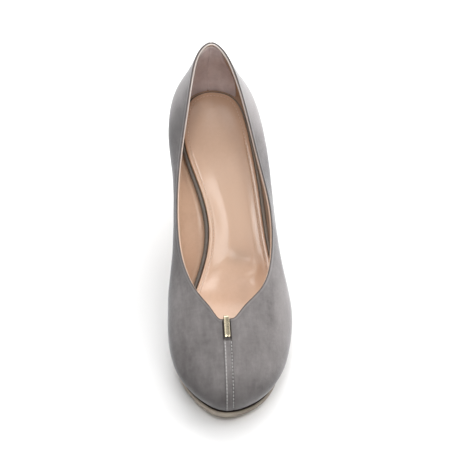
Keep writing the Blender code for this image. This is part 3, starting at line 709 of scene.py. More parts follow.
def suede_relief(front, back, below, p, n):
    """How far the suede stands out of its even surface, and its colour fields, which paint light and
    shade into it.
    """
    across = np.abs(front)
    past_bar = smoothstep(BAR_LENGTH + 0.6, BAR_LENGTH + 2.4, below)
    near_bar = 1 - smoothstep(BAR_LENGTH + 0.2, BAR_LENGTH + 1.4, below)
    rows = hump(front, SEAM_STITCH, 0.55) * past_bar
    lap_and_painted_highlight = hump(front, SEAM_FOLD, 0.5) * past_bar
    step = hump(front, SEAM_FOLD - 1.0, 0.4) * past_bar
    strip = smoothstep(SEAM_FOLD - 0.8, SEAM_FOLD, front)
    strip = strip * (1 - smoothstep(SEAM_STITCH - 0.9, SEAM_STITCH, front)) * past_bar
    slit_and_painted_shade = smoothstep(SLOT_IN - 0.3, SLOT_IN + 0.1, across)
    slit_and_painted_shade = slit_and_painted_shade * (1 - smoothstep(SLOT_OUT - 0.35, SLOT_OUT, across)) * near_bar
    end = (1 - smoothstep(2.4, 3.2, across)) * hump(below, BAR_LENGTH + 1.0, 0.7)
    roll = 1.0 * hump(below, 0.9, 0.8) - 0.5 * hump(below, 2.4, 0.7)
    seam_back = -0.3 * hump(back, 0.0, 0.35) + 0.12 * hump(np.abs(back), 1.3, 0.8)
    x, s, z = p[..., 0], p[..., 1], p[..., 2]
    soft = (
        0.10 * np.sin(x * 0.21 + s * 0.13 + 0.7) * np.sin(s * 0.09 - z * 0.17 + 1.9)
        + 0.06 * np.sin(x * 0.43 - z * 0.31 + 2.1) * np.sin(s * 0.27 + 0.4)
    )
    lift = -0.3 * rows + 0.12 * strip + 0.16 * lap_and_painted_highlight - 0.14 * step - 0.75 * slit_and_painted_shade - 0.5 * end
    lift = lift + 0.13 * roll + seam_back + soft * smoothstep(2, 9, below)
    lateral, medial = np.clip(np.tanh((x - 2) / 14), 0, 1), np.clip(np.tanh((2 - x) / 14), 0, 1)
    side = 1 - smoothstep(0.72, 0.94, n[..., 2])
    # painted light and shade: lighter on the steep lateral walls and the heel's sides, darker on the
    # medial walls, the lateral waist and low on the toe's front
    nap_and_painted_light = (0.85 * side - 0.3) * hump(s, 68, 35) * lateral + smoothstep(162, 186, s) * lateral
    nap_and_painted_light = nap_and_painted_light - 0.6 * hump(s, 144, 14) * lateral
    nap_and_painted_light = nap_and_painted_light - 0.95 * hump(s, 84, 66) * medial * (1 - smoothstep(0.3, 0.72, n[..., 2]))
    nap_and_painted_light = nap_and_painted_light + (1.2 * hump(s, 206, 14) - 0.5 * hump(s, 178, 9)) * medial
    nap_and_painted_light = nap_and_painted_light - 0.48 * (1 - smoothstep(6, 34, s)) * (1 - smoothstep(18, 34, z))
    throat = 1 - smoothstep(0.0, 1.0, (s - 60) / 45)
    fields = {
        # painted light and shade over the walls
        "nap_and_painted_light": np.clip(nap_and_painted_light, -1, 1),
        # painted shade in the slits beside the bar and under the bar's end
        "slit_and_painted_shade": np.clip(slit_and_painted_shade + 0.8 * end, 0, 1),
        # painted shade along the stitch groove and the step beside the seam's overlap
        "seam": np.clip(rows + 0.8 * step, 0, 1),
        # painted highlight along the seam's standing overlap
        "lap_and_painted_highlight": np.clip(lap_and_painted_highlight, 0, 1),
        # painted highlight on the rolled edge, painted shade in the groove behind it
        "edge": np.clip(hump(below, 1.1, 1.0) - 0.6 * hump(below, 2.5, 0.5), -1, 1),
        "brow": (1 - smoothstep(0.5, 0.75, below)) * (0.34 + 0.61 * throat),
    }
    return lift, fields


def make_upper():
    u = around(352)
    size = wall(u, np.zeros((len(u), 1)))[1][:, None]
    turn = 1.6 / size  # the rounded feather edge
    rim = SUEDE_THICK / 2
    grade = np.concatenate((np.linspace(0, 0.90, 46), np.linspace(0.90, 1, 15)[1:]))
    v = turn + (1 - rim / size - turn) * grade[None, :]
    p, n, t, _ = wall_frame(u, v)
    front, back, below = seam_place(u, v)
    lift, fields = suede_relief(front, back, below, p, n)
    outer = p + n * lift[..., None]

    def under(inset, thick=0.0):
        x, s = feather(u, inset)
        z = over(x, s, thick) if thick else bottom(x, s)
        return np.stack((x, s, z), -1)

    corner = under(0.0)
    start, finish = under(1.6), outer[:, 0]
    fillet = []
    for k in np.linspace(0, 1, 7)[:-1]:
        fillet.append(start * (1 - k) ** 2 + corner * 2 * k * (1 - k) + finish * k * k)
    margin = [under(LASTING_MARGIN - 1.0), under(4.0)]
    top, tn, tt = outer[:, -1], n[:, -1], t[:, -1]
    fold = []
    for a in np.linspace(0, math.pi, 9)[1:]:
        fold.append(top - tn * rim + rim * (math.cos(a) * tn + math.sin(a) * tt))
    inner_v = np.concatenate((v[:, ::-2][:, 1:], 2.2 / size, 1.7 / size), 1)
    ip, inn, _, _ = wall_frame(u, inner_v)
    inside = ip - inn * SUEDE_IN
    low = [under(k, SUEDE_IN) for k in (1.7, 2.6, 4.0, LASTING_MARGIN - 1.0)]
    ring = np.concatenate(
        (
            np.stack(margin + fillet, 1),
            outer,
            np.stack(fold, 1),
            inside,
            np.stack(low, 1),
        ),
        1,
    )
    count = ring.shape[1]
    lead = len(margin) + len(fillet)

    def field(values, before, after):
        return np.concatenate(
            (
                np.broadcast_to(before, (len(u), lead)),
                values,
                np.broadcast_to(after, (len(u), count - lead - values.shape[1])),
            ),
            1,
        )

    after = {"slit_and_painted_shade": 0.0, "seam": 0.0, "lap_and_painted_highlight": 0.0, "edge": 0.0, "nap_and_painted_light": 0.0}
    after["brow"] = fields["brow"][:, -1:]
    mesh = sheet_mesh(
        "upper_suede",
        ring,
        values={key: field(value, 0.0, after[key]) for key, value in fields.items()},
    )
    piece("upper_suede", mesh, GREY_SUEDE, "upper")


def under_wall(u, inset, thick):
    x, s = feather(u, inset)
    return np.stack((x, s, over(x, s, thick)), -1)


def make_lining():
    """Leather lining inside the suede from its pale cut edge under the fold down to
    the piping, and turned in under the sock."""
    u = around(300, 0.02, 0.004)
    size = wall(u, np.zeros((len(u), 1)))[1][:, None]
    half = LINING_THICK / 2
    low, high = 2.4 / size, 1 - (half + 0.1) / size
    v = low + (high - low) * np.linspace(0, 1, 34)[None, :] ** 0.9
    p, n, t, _ = wall_frame(u, v)
    below = (1 - v) * size
    depth = LINING_OUT + LINING_THICK
    round_shoe = np.abs(((u + 0.5) % 1.0) - 0.5)[:, None]
    full = 0.32 * smoothstep(0.16, 0.26, round_shoe)
    inner = p - n * (depth + full * np.exp(-((below / 4.5) ** 2)))[..., None]
    thick = (half + full[:, 0] / 2)[:, None]
    top, tn, tt = p[:, -1] - n[:, -1] * (LINING_OUT + thick), n[:, -1], t[:, -1]
    fold = []
    for a in np.linspace(math.pi, 0, 7)[1:-1]:
        fold.append(top + thick * math.cos(a) * tn + half * math.sin(a) * tt)
    bp, bn, _, _ = wall_frame(u, v[:, ::-5])
    hidden = bp - bn * LINING_OUT
    turned = [under_wall(u, k, LINING_OUT) for k in (2.4, 6.5)]
    turned += [under_wall(u, k, depth) for k in (6.5, 4.0, 2.6)]
    ring = np.concatenate((inner, np.stack(fold, 1), hidden, np.stack(turned, 1)), 1)
    rest = np.zeros((len(u), ring.shape[1] - v.shape[1]))
    shade = np.concatenate((0.15 * (1 - smoothstep(0, 4, size - below)), rest), 1)
    rim = np.concatenate((1 - smoothstep(0.35, 1.0, below), rest), 1)
    rim[:, v.shape[1] : v.shape[1] + len(fold)] = 1.0
    turn = np.abs(((u + 0.5) % 1.0) - 0.5)[:, None]
    pale = 0.12 + 0.88 * smoothstep(0.24, 0.38, turn)
    shade = np.clip(shade + rim * 0.85 * (1 - smoothstep(0.10, 0.22, turn)), 0, 1)
    rim = rim * pale
    shade = np.clip(shade + 0.75 * smoothstep(0.40, 0.45, turn) * (1 - rim), 0, 1)
    # painted light: the lining paler on the lateral wall
    lateral = smoothstep(0.62, 0.68, u) * (1 - smoothstep(0.80, 0.88, u))
    rim = np.maximum(rim, 0.35 * lateral[:, None] * (np.arange(ring.shape[1]) < v.shape[1]))
    mesh = sheet_mesh("upper_lining", ring, values={"shade": shade, "rim": rim})
    piece("upper_lining", mesh, LINING)


def make_heel_grip():
    """Suede grip round the inside of the heel, with a seam down its middle."""
    wide = np.linspace(0.44, 0.56, 161)
    size = wall(wide, np.zeros((len(wide), 1)))[1][:, None]
    low, high = 2.0 / size, 1 - 1.7 / size
    up = np.linspace(0, 1, 34)
    wp, wn, _, _ = wall_frame(wide, low + (high - low) * up[None, :])
    share = np.unique(np.concatenate((np.linspace(0, 1, 70), np.linspace(0.36, 0.5, 30))))
    # wider towards the sock than at the top line
    first = 0.463 - 0.013 * (1 - smoothstep(0.0, 0.85, up))
    last = 0.5365 + 0.015 * (1 - smoothstep(0.0, 0.85, up))
    u = first + share[:, None] * (last - first)
    p = np.stack([[np.interp(u[:, k], wide, wp[:, k, c]) for k in range(34)] for c in range(3)], -1)
    n = np.stack([[np.interp(u[:, k], wide, wn[:, k, c]) for k in range(34)] for c in range(3)], -1)
    p, n = p.swapaxes(0, 1), n.swapaxes(0, 1)
    n = n / np.linalg.norm(n, axis=2)[..., None]
    groove = hump(u, 0.4945, 0.0011)
    out = LINING_OUT + LINING_THICK + 0.03
    face = p - n * (out + 0.55 - 0.42 * groove)[..., None]
    behind = p - n * out
    fade_u = np.minimum(np.arange(len(u)), np.arange(len(u))[::-1]) / 2.0
    fade_v = np.clip(np.arange(34)[::-1] / 1.0, 0, 1) * (0.4 + 0.6 * smoothstep(0, 4, np.arange(34)))
    fade = np.clip(np.minimum(fade_u[:, None], fade_v[None, :]), 0.0, 1.0)
    face = behind + (face - behind) * fade[..., None]
    ring = np.concatenate((face, behind[:, ::-1]), 1)
    mesh = sheet_mesh("heel_grip", ring, wrap_u=False, wrap_r=True, weld=True)
    piece("heel_grip", mesh, GRIP_SUEDE)


def across_to(v, offset):
    """Where round the shoe the wall lies this far across from the vamp's middle."""
    u = np.linspace(-0.03, 0.03, 241)
    p, n, _, _ = wall_frame(u, np.broadcast_to(v, (len(u), len(v))))
    mid = p[120, :, 0]
    places, normals = [], []
    for k in range(len(v)):
        x = p[:, k, 0] - mid[k]
        order = np.argsort(x)
        place = np.interp(offset, x[order], u[order])
        i = np.clip(np.searchsorted(u, place), 1, len(u) - 1)
        w = (place - u[i - 1]) / (u[i] - u[i - 1])
        places.append(p[i - 1, k] * (1 - w) + p[i, k] * w)
        normals.append(n[i - 1, k] * (1 - w) + n[i, k] * w)
    return np.array(places), np.array(normals)


def make_vamp_stitches():
    size = float(wall(np.zeros(1), np.zeros((1, 1)))[1][0])
    v = np.linspace(1 - (BAR_LENGTH + 2.6) / size, 2.2 / size, 120)
    line, normals = across_to(v, SEAM_STITCH)
    paths = stitches(line - normals * 0.26, normals, 1.5, 2.3, 0.27, 0.35)
    line, normals = across_to(v, SEAM_FOLD)
    paths += stitches(line + normals * 0.14, normals, 1.9, 2.3, 0.1, 0.3)
    mesh = tubes_mesh("vamp_stitches", paths, 0.27)
    piece("vamp_stitches", mesh, VAMP_THREAD)


# ----------------------------------------------------------------------- insole
def flat_piece(u, edge, rows, value_rows=None):
    """Rings from a middle line out to an outline and back, for a flat closed piece.
    Each row: share of the way in, then mm in from the edge, then its height."""
    ex, es = edge
    pair = (-np.arange(len(u))) % len(u)
    half = len(u) // 2 + 1
    line_x, line_s = ((ex + ex[pair]) / 2)[:half], ((es + es[pair]) / 2)[:half]
    s = np.clip((es + es[pair]) / 2, line_s.min() + 14.0, line_s.max() - 12.0)
    order = np.argsort(line_s)
    px = np.interp(s, line_s[order], line_x[order])
    dx, ds = px - ex, s - es
    far = np.hypot(dx, ds)
    points, inset = [], []
    for share, into, height in rows:
        d = into + share * (far - into)
        x, y = ex + dx / far * d, es + ds / far * d
        points.append(np.stack((x, y, height(x, y, d)), -1))
        inset.append(d)
    return np.stack(points, 1), np.stack(inset, 1)


def sock_edge(u):
    return feather(u, WALL + GAP + RING["piping"](u) + GAP)


STITCH_IN = 3.0


def sock_top(x, s, d):
    low = WALL + GAP
    dome = smoothstep(0, 16, d)
    z = over(x, s, low + INSOLE_THICK) + 0.35 + dome * pad_lift(s)
    z = z - 0.9 * (1 - np.sqrt(np.clip(1 - (1 - np.clip(d, 0, 1.1) / 1.1) ** 2, 0, 1)))
    z = z - 0.2 * hump(d, STITCH_IN, 0.5) * (1 - 0.7 * smoothstep(172, 196, s))
    # padding: hollow along the middle of the waist, so that both sides rise to the
    # edge, ending in a soft fold behind the swell under the ball
    inner = smoothstep(3.0, 10, d)
    side = smoothstep(9, 18, x)
    way_in = np.clip((d - 1.6 + 0.8 * side) / (12.9 - 5.2 * side), 0, 1)
    ramp = smoothstep(0, 1, way_in ** (1 - 0.3 * side))
    even = np.where(way_in < 0.75, way_in, 0.75 + 0.25 * (1 - (1 - (way_in - 0.75) / 0.5) ** 2))
    ramp = ramp + (np.minimum(even / 0.9375, 1) - ramp) * 0.75 * side
    fold_s = 113.0 - 7.0 * smoothstep(6, 22, x)
    waist = smoothstep(fold_s - 10, fold_s + 9, s) * (1 - smoothstep(132, 178, s))
    depth = 1.7 - 0.2 * side + 0.3 * (1 - smoothstep(110, 125, s))
    z = z - depth * ramp * waist
    z = z + 0.3 * hump(s, 95.0, 13.0) * hump(x, 13, 15) * inner
    # the fold's end curls round the lateral side of the ball
    far, way = np.hypot(x - 18.0, (s - 110.0) / 1.1), np.arctan2(s - 110.0, x - 18.0)
    z = z + 0.48 * hump(far, 8.5, 2.6) * smoothstep(-2.1, -1.2, way) * (1 - smoothstep(0.3, 1.0, way))
    return z


def sock_under(x, s, d):
    return over(x, s, WALL + GAP)


def make_insole():
    count = 352
    u = np.arange(count) / count
    rows = [(k, 6.0, sock_top) for k in np.linspace(1, 0, 26)[:-1]]
    for into in (6.0, 5.0, 4.2, 3.7, 3.4, 3.15, 2.9, 2.65, 2.3, 1.8, 1.2, 0.8, 0.5, 0.25, 0.1, 0.0):
        rows.append((0.0, into, sock_top))
    rows += [(0.0, 0.0, lambda x, s, d: over(x, s, WALL + GAP + 1.2))]
    rows += [(k, 0.0, sock_under) for k in (0.0, 0.4, 0.75, 1.0)]
    points, inset = flat_piece(u, sock_edge(u), rows)
    top = np.arange(len(rows)) < 41
    d = inset
    s = points[..., 1]
    shade = 0.12 * hump(d, STITCH_IN, 0.35) * (1 - smoothstep(172, 196, s))
    shade = shade + 0.2 * (1 - smoothstep(0, 1.0, d))
    shade = shade + 0.42 * smoothstep(158, 212, s)
    shade = shade + 0.9 * hump(s, 115, 5.0) * hump(points[..., 0], 13.5, 8.5)
    shade = np.where(top[None, :], shade, 0.0)
    # painted light: paler over the middle of the waist and at the lateral front of the ball
    sock_painted_light = 0.85 * hump(s, 143, 22) * smoothstep(2.0, 9.0, d)
    sock_painted_light = np.maximum(sock_painted_light, hump(s, 91, 14) * smoothstep(15, 24, points[..., 0])) * top[None, :]
    values = {"shade": shade, "rim": sock_painted_light}
    mesh = sheet_mesh("sock", points, wrap_r=False, weld=True, values=values)
    sock = piece("sock", mesh, SOCK, "insole")

    # one row of stitches all round, a little way in from the edge
    line, _ = flat_piece(u, sock_edge(u), [(0.0, STITCH_IN, sock_top)])
    line = np.concatenate((line[:, 0], line[:1, 0]))
    e = 0.6
    x, y = line[:, 0], line[:, 1]
    gx = (over(x + e, y, 5.0) - over(x - e, y, 5.0)) / (2 * e)
    gs = (over(x, y + e, 5.0) - over(x, y - e, 5.0)) / (2 * e)
    normals = np.stack((-gx, -gs, np.ones_like(gx)), -1)
    normals /= np.linalg.norm(normals, axis=1)[:, None]
    mesh = tubes_mesh("sock_stitches", stitches(line, normals, 1.6, 2.4, 0.14, 0.3), 0.17)
    piece("sock_stitches", mesh, SOCK_THREAD)


def make_piping():
    """Round piping between sock and wall, slightly uneven, with painted shade darkening its
    underside.
    """
    count, sides = 440, 18
    u = np.arange(count) / count
    size = RING["piping"](u)
    x, s = feather(u, WALL + GAP + size / 2)
    z = over(x, s, WALL + GAP + size / 2)
    centre = np.stack((x, s, z), -1)
    along = np.roll(centre, -1, 0) - np.roll(centre, 1, 0)
    along /= np.linalg.norm(along, axis=1)[:, None]
    side = np.cross(along, (0, 0, 1.0))
    side /= np.linalg.norm(side, axis=1)[:, None]
    up = np.cross(side, along)
    ring = []
    for k in range(sides):
        a = 2 * math.pi * k / sides
        uneven = 1 + 0.025 * np.sin(2 * math.pi * u * 61 + 2 * math.sin(a))
        r = size / 2 * uneven * 0.985
        ring.append(centre + r[:, None] * (math.cos(a) * side + math.sin(a) * up))
    shade = np.array([0.5 - 0.5 * math.sin(2 * math.pi * k / sides) for k in range(sides)])
    # painted light: paler along its top on the lateral side
    lateral_painted_light = smoothstep(0.53, 0.58, u) * (1 - smoothstep(0.84, 0.9, u))
    rim = 0.7 * lateral_painted_light[:, None] * np.clip(1.4 - 2.6 * shade[None, :], 0, 1)
    mesh = sheet_mesh(
        "insole_piping_cord",
        np.stack(ring, 1),
        values={"shade": shade[None, :] ** 2, "rim": rim},
    )
    piece("insole_piping_cord", mesh, PIPING, "insole_piping")


# ---------------------------------------------------------------------- outsole
def sole_edge(u):
    x, s = feather(u)
    share = smoothstep(78.0, 112.0, s)
    welt = SIDE_WELT + (TOE_WELT - SIDE_WELT) * np.exp(-((s / 16.0) ** 2))
    x, s = feather(u, -welt + (welt + WAIST_INSET) * share)
    end = BREAST_S + 0.15
    cut = np.where(s > end)[0]
    first, last = cut[0] - 1, cut[-1] + 1
    cross = lambda i, j: x[i] + (x[j] - x[i]) * (end - s[i]) / (s[j] - s[i])
    medial, lateral = cross(first, cut[0]), cross(last, cut[-1])
    share = (np.arange(len(u)) - cut[0]) / max(len(cut) - 1, 1)
    inside = (np.arange(len(u)) >= cut[0]) & (np.arange(len(u)) <= cut[-1])
    x = np.where(inside, medial + (lateral - medial) * share, x)
    return x, np.where(inside, end, s)


def make_outsole():
    count = 352
    u = np.arange(count) / count

    def thick(s):
        return FOREFOOT_SOLE + (SHANK_SOLE - FOREFOOT_SOLE) * np.clip((s - 74.0) / 40.0, 0, 1)

    def top(x, s, d):
        return bottom(x, s) - GAP

    def under(x, s, d):
        return np.maximum(bottom(x, s) - GAP - thick(s), 0.0)

    def part(share):
        return lambda x, s, d: top(x, s, d) + (under(x, s, d) - top(x, s, d)) * share

    rows = [(k, 3.0, top) for k in (1.0, 0.6, 0.25)]
    rows += [(0.0, k, top) for k in (3.0, 1.6, 1.25, 1.0, 0.3)]
    rows += [(0.0, 0.12, lambda x, s, d: top(x, s, d) - 0.1)]
    rows += [(0.0, 0.0, part(k)) for k in (0.09, 0.3, 0.5, 0.7)]
    rows += [(0.0, 0.05, part(0.84)), (0.0, 0.25, part(0.95)), (0.0, 0.6, under)]
    rows += [(0.0, k, under) for k in (1.6, 3.0)]
    rows += [(k, 3.0, under) for k in (0.2, 0.4, 0.6, 0.8, 1.0)]
    points, inset = flat_piece(u, sole_edge(u), rows)
    index = np.arange(len(rows))[None, :]
    welt = np.where(index < 6, 1.0, 0.0)
    tread = np.where(index > 14, 1.0, np.where(index == 14, 0.5, 0.0))
    # the edge is darker round the outer half of the toe
    x, s = sole_edge(u)
    toe_edge_darkening = smoothstep(-4.0, 11.0, x - x[np.argmin(s)]) * (1.0 - smoothstep(16.0, 44.0, s))
    mesh = sheet_mesh(
        "sole",
        points,
        wrap_r=False,
        weld=True,
        values={"welt": welt, "tread": tread, "toe_edge_darkening": toe_edge_darkening[:, None] + 0.0 * index},
    )
    piece("sole", mesh, SOLE, "outsole")


# ------------------------------------------------------------------------- heel
def seat_radius(angle, ring):
    dx, ds = math.cos(angle), math.sin(angle)
    a, e = ring[:-1] - np.array(SEAT_CENTRE), np.diff(ring, axis=0)
    det = e[:, 0] * ds - e[:, 1] * dx
    det = np.where(np.abs(det) < 1e-12, 1e-12, det)
    r = (e[:, 0] * a[:, 1] - e[:, 1] * a[:, 0]) / det
    t = (dx * a[:, 1] - ds * a[:, 0]) / det
    good = (r > 0) & (t >= -1e-9) & (t <= 1 + 1e-9)
    reach = float(r[good].min()) if good.any() else 1e9
    if ds < -1e-6:
        reach = soft_least(reach, (BREAST_S - SEAT_CENTRE[1]) / ds, 14.0)
    return reach


def make_heel():
    count = 160
    angles = 2 * math.pi * np.arange(count) / count
    edge = np.stack(feather(0.25 + 0.5 * np.arange(481) / 480), -1)
    seat = np.array([seat_radius(a, edge) for a in angles])
    lift = np.array([lift_radius(a) for a in angles])
    dx, ds = np.cos(angles), np.sin(angles)
    foot_z = LIFT_HEIGHT + GAP
    sx, ss = SEAT_CENTRE[0] + dx * seat, SEAT_CENTRE[1] + ds * seat
    seat_z = bottom(sx, ss) - GAP
    rings = []
    for k in (0.0, 0.5, 0.9):
        x, s = SEAT_CENTRE[0] + dx * seat * k, SEAT_CENTRE[1] + ds * seat * k
        rings.append(np.stack((x, s, bottom(x, s) - GAP), -1))
    breast_seam = hump(((angles + math.pi / 2 + math.pi) % (2 * math.pi)) - math.pi, 0, 0.03)
    for k, drop in enumerate(np.concatenate(([0.0, 0.004, 0.012], np.linspace(0.03, 1, 40)))):
        flare = HEEL_FLARE["side"](drop) * dx**2
        flare = flare + np.where(ds > 0, HEEL_FLARE["back"](drop), HEEL_FLARE["breast"](drop)) * ds**2
        radius = lift + (seat - lift) * flare - 0.18 * breast_seam
        radius = radius - (0.35, 0.1, 0.02)[k] if k < 3 else radius
        x = SEAT_CENTRE[0] + (LIFT_CENTRE[0] - SEAT_CENTRE[0]) * drop + dx * radius
        s = SEAT_CENTRE[1] + (LIFT_CENTRE[1] - SEAT_CENTRE[1]) * drop + ds * radius
        rings.append(np.stack((x, s, seat_z + (foot_z - seat_z) * drop), -1))
    for k in (0.93, 0.5, 0.0):
        x, s = LIFT_CENTRE[0] + dx * lift * k, LIFT_CENTRE[1] + ds * lift * k
        rings.append(np.stack((x, s, np.full(count, foot_z)), -1))
    mesh = sheet_mesh("heel_cover", np.stack(rings, 1), wrap_r=False, weld=True)
    piece("heel_cover", mesh, HEEL_SUEDE, "heel")


def make_top_lift():
    count = 120
    angles = 2 * math.pi * np.arange(count) / count
    lift = np.array([lift_radius(a) for a in angles])
    dx, ds = np.cos(angles), np.sin(angles)
    rows = (
        (0.0, 6.0), (0.6, 6.0), (0.955, 6.0), (0.975, 5.93), (0.985, 5.7), (0.985, 3.2),
        (0.985, 0.9), (0.975, 0.35), (0.955, 0.08), (0.92, 0.0), (0.6, 0.0), (0.0, 0.0),
    )  # fmt: skip
    rings = []
    for k, z in rows:
        x, s = LIFT_CENTRE[0] + dx * lift * k, LIFT_CENTRE[1] + ds * lift * k
        rings.append(np.stack((x, s, np.full(count, z)), -1))
    mesh = sheet_mesh("top_lift", np.stack(rings, 1), wrap_r=False, weld=True)
    piece("top_lift", mesh, RUBBER, "heel_top_lift")


# -------------------------------------------------------------------------- bar
def bar_line():
    zero = np.zeros(1)
    size = float(wall(zero, np.zeros((1, 1)))[1][0])
    stand = GAP + BAR_THICK / 2

    def at(v):
        p, n, t, _ = wall_frame(zero, np.array([[v]]))
        t, mid = t[0, 0], p[0, 0]
        length = math.hypot(t[1], t[2])
        return mid[1], mid[2], -t[2] / length, t[1] / length, t[1] / length, t[2] / length

    outer, inner = [], []
    for k in range(17):
        s, z, ns, nz, _, _ = at(1.0 - BAR_LENGTH / size * (1 - k / 16))
        outer.append((s + ns * stand, z + nz * stand))
    for k in range(6):
        s, z, ns, nz, _, _ = at(1.0 - BAR_RETURN / size * k / 5)
        inner.append((s - ns * (WALL + stand), z - nz * (WALL + stand)))
    s, z, ns, nz, ts, tz = at(1.0)
    cs, cz, half = s - ns * WALL / 2, z - nz * WALL / 2, WALL / 2 + stand
    bend = []
    for k in range(1, 9):
        a = math.pi / 2 * k / 8
        across = half - BAR_BEND * (1 - math.cos(a))
        bend.append((across, stand - BAR_BEND * (1 - math.sin(a))))
    bend += [(-across, rise) for across, rise in reversed(bend)]
    turn = [(cs + w * ns + h * ts, cz + w * nz + h * tz) for w, h in bend]
    return np.array(outer + turn + inner)


def make_bar():
    """Bent metal strip with rounded edges and a slightly domed face."""
    line = bar_line()
    along = np.gradient(line, axis=0)
    along /= np.linalg.norm(along, axis=1)[:, None]
    out = np.stack((-along[:, 1], along[:, 0]), -1)
    half, thick, corner = BAR_WIDTH / 2 - 0.05, BAR_THICK / 2, 0.34
    loop = []
    for cx, cy, start in ((1, 1, 0), (-1, 1, 90), (-1, -1, 180), (1, -1, 270)):
        for a in np.linspace(start, start + 90, 6):
            a = math.radians(a)
            loop.append(
                (
                    cx * (half - corner) + corner * math.cos(a),
                    cy * (thick - corner) + corner * math.sin(a),
                )
            )
    for w in (-1.2, 0.0, 1.2):
        loop.insert(6 + (-1.2, 0.0, 1.2).index(w), (-w, thick))
    x0 = float(RING["top_x"](0.0))
    rings = []
    for k, (s, z) in enumerate(line):
        ends = min(k, len(line) - 1 - k)
        grow = (0.0, 1.0)[ends > 0]
        pinch = 1.0 if grow else 0.9
        row = []
        for w, h in loop:
            dome = 0.16 * (1 - (w / half) ** 2) if h > 0 else 0.0
            h = (h + dome) * (1.0 if grow else 0.8)
            row.append((x0 + w * pinch, s + out[k, 0] * h, z + out[k, 1] * h))
        rings.append(row)
    rings = np.array(rings)
    first, last = rings[:1].mean(1, keepdims=True), rings[-1:].mean(1, keepdims=True)
    rings = np.concatenate(
        (np.broadcast_to(first, rings[:1].shape), rings, np.broadcast_to(last, rings[:1].shape))
    )
    mesh = sheet_mesh("gold_bar", rings, wrap_u=False, wrap_r=True, weld=True)
    mesh.set_sharp_from_angle(angle=math.radians(55))
    piece("gold_bar", mesh, GOLD, "throat_bar")


make_upper()
make_lining()
make_heel_grip()
make_vamp_stitches()
make_insole()
make_piping()
make_outsole()
make_heel()
make_top_lift()
make_bar()


# ------------------------------------------------------------- floor and lights
def make_floor():
    bm = bmesh.new()
    bmesh.ops.create_grid(bm, x_segments=8, y_segments=8, size=0.72)
    mesh = bpy.data.meshes.new("floor")
    bm.to_mesh(mesh)
    bm.free()
    floor = bpy.data.objects.new("floor", mesh)
    floor.location.z = -0.0001
    floor.data.materials.append(floor_material())
    bpy.context.scene.collection.objects.link(floor)


def area_light(name, place, aim, size, power, colour=(1.0, 1.0, 1.0)):
    data = bpy.data.lights.new(name, "AREA")
    data.shape = "RECTANGLE"
    data.size, data.size_y = size
    data.energy = power
    data.color = colour
    obj = bpy.data.objects.new(name, data)
    obj.location = place
    way = Vector(aim) - Vector(place)
    obj.rotation_euler = way.to_track_quat("-Z", "Y").to_euler()
    bpy.context.scene.collection.objects.link(obj)


make_floor()
area_light("behind", (0.20, 1.25, 1.0), (0.0, 0.05, 0.04), (1.8, 0.9), 28.0)
area_light("overhead", (-0.24, 0.52, 1.43), (0.0, 0.0, 0.03), (1.1, 0.9), 7.0)
area_light("right_side", (1.15, 0.30, 0.85), (0.0, 0.0, 0.05), (1.0, 1.0), 10.3)
area_light("strip_right", (0.46, -0.38, 1.10), (0.0, 0.02, 0.04), (0.25, 0.6), 2.0)
area_light("strip_left", (-0.21, -0.36, 1.14), (0.0, 0.02, 0.04), (0.27, 0.6), 3.3)


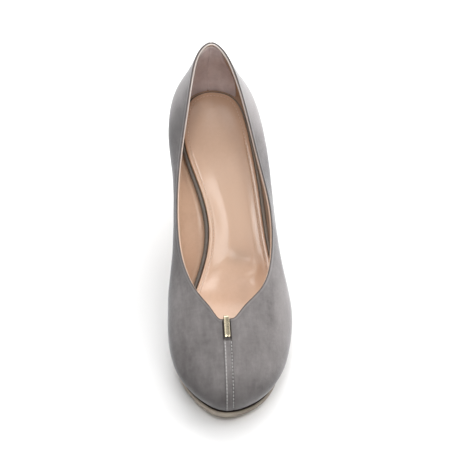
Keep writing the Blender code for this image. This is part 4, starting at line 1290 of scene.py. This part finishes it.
def studio_world():
    """Even pale surround, dimmer as a light low in front and on the medial side."""
    world = bpy.data.worlds.new("studio")
    bpy.context.scene.world = world
    world.use_nodes = True
    tree = world.node_tree
    way = tree.nodes.new("ShaderNodeTexCoord")
    facing = tree.nodes.new("ShaderNodeVectorMath")
    facing.operation = "DOT_PRODUCT"
    facing.inputs[1].default_value = (0.50, 0.42, 0.76)
    spread = tree.nodes.new("ShaderNodeMapRange")
    spread.inputs["From Min"].default_value = -0.8
    spread.inputs["From Max"].default_value = 1.0
    ramp = tree.nodes.new("ShaderNodeValToRGB")
    ramp.color_ramp.elements[0].color = (0.11, 0.11, 0.114, 1.0)
    ramp.color_ramp.elements[1].color = (0.42, 0.42, 0.42, 1.0)
    tree.links.new(way.outputs["Generated"], facing.inputs[0])
    tree.links.new(facing.outputs["Value"], spread.inputs["Value"])
    tree.links.new(spread.outputs["Result"], ramp.inputs["Fac"])
    tree.links.new(ramp.outputs["Color"], tree.nodes["Background"].inputs["Color"])
    backdrop = tree.nodes.new("ShaderNodeBackground")
    backdrop.inputs["Color"].default_value = (1.0, 1.0, 1.0, 1.0)
    path = tree.nodes.new("ShaderNodeLightPath")
    both = tree.nodes.new("ShaderNodeMixShader")
    tree.links.new(path.outputs["Is Camera Ray"], both.inputs[0])
    tree.links.new(tree.nodes["Background"].outputs[0], both.inputs[1])
    tree.links.new(backdrop.outputs[0], both.inputs[2])
    tree.links.new(both.outputs[0], tree.nodes["World Output"].inputs["Surface"])


studio_world()
bpy.context.scene.view_settings.view_transform = "Standard"


# ----------------------------------------------------------------------- camera
FRAME_PX = 460.0
ELEVATION = math.radians(50.0)
YAW = math.radians(-2.9)
DISTANCE = 1100.0
FOCAL_PX = 1292.5
AIM_POINT = np.array((0.0, 52.0, 41.0))  # throat point on the last
AIM_PIXEL = (284.6, 308.0)
CENTRE_PIXEL = (287.5, 242.5)  # middle of the shoe in the picture
SPAN_PX = 345.0  # width of picture that the frame takes in


def make_camera():
    back = np.array(
        (
            math.sin(YAW) * math.cos(ELEVATION),
            -math.cos(YAW) * math.cos(ELEVATION),
            math.sin(ELEVATION),
        )
    )
    forward = -back
    right = np.array((math.cos(YAW), math.sin(YAW), 0.0))
    up = np.cross(right, forward)
    mid = FRAME_PX / 2

    def ray(pixel):
        dx, dy = (pixel[0] - mid) / FOCAL_PX, -(pixel[1] - mid) / FOCAL_PX
        return forward + dx * right + dy * up

    place = AIM_POINT - DISTANCE * ray(AIM_PIXEL)
    look = ray(CENTRE_PIXEL)
    look /= np.linalg.norm(look)
    right = right - look * (right @ look)
    right /= np.linalg.norm(right)
    up = np.cross(right, look)
    data = bpy.data.cameras.new("camera")
    data.sensor_width = 36.0
    data.lens = 36.0 * FOCAL_PX / SPAN_PX
    data.clip_start, data.clip_end = 0.05, 20.0
    camera = bpy.data.objects.new("camera", data)
    place = (place + OFFSET) * MM
    camera.matrix_world = Matrix(
        (
            (right[0], up[0], -look[0], place[0]),
            (right[1], up[1], -look[1], place[1]),
            (right[2], up[2], -look[2], place[2]),
            (0.0, 0.0, 0.0, 1.0),
        )
    )
    bpy.context.scene.collection.objects.link(camera)
    bpy.context.scene.camera = camera


make_camera()
bpy.context.view_layer.update()
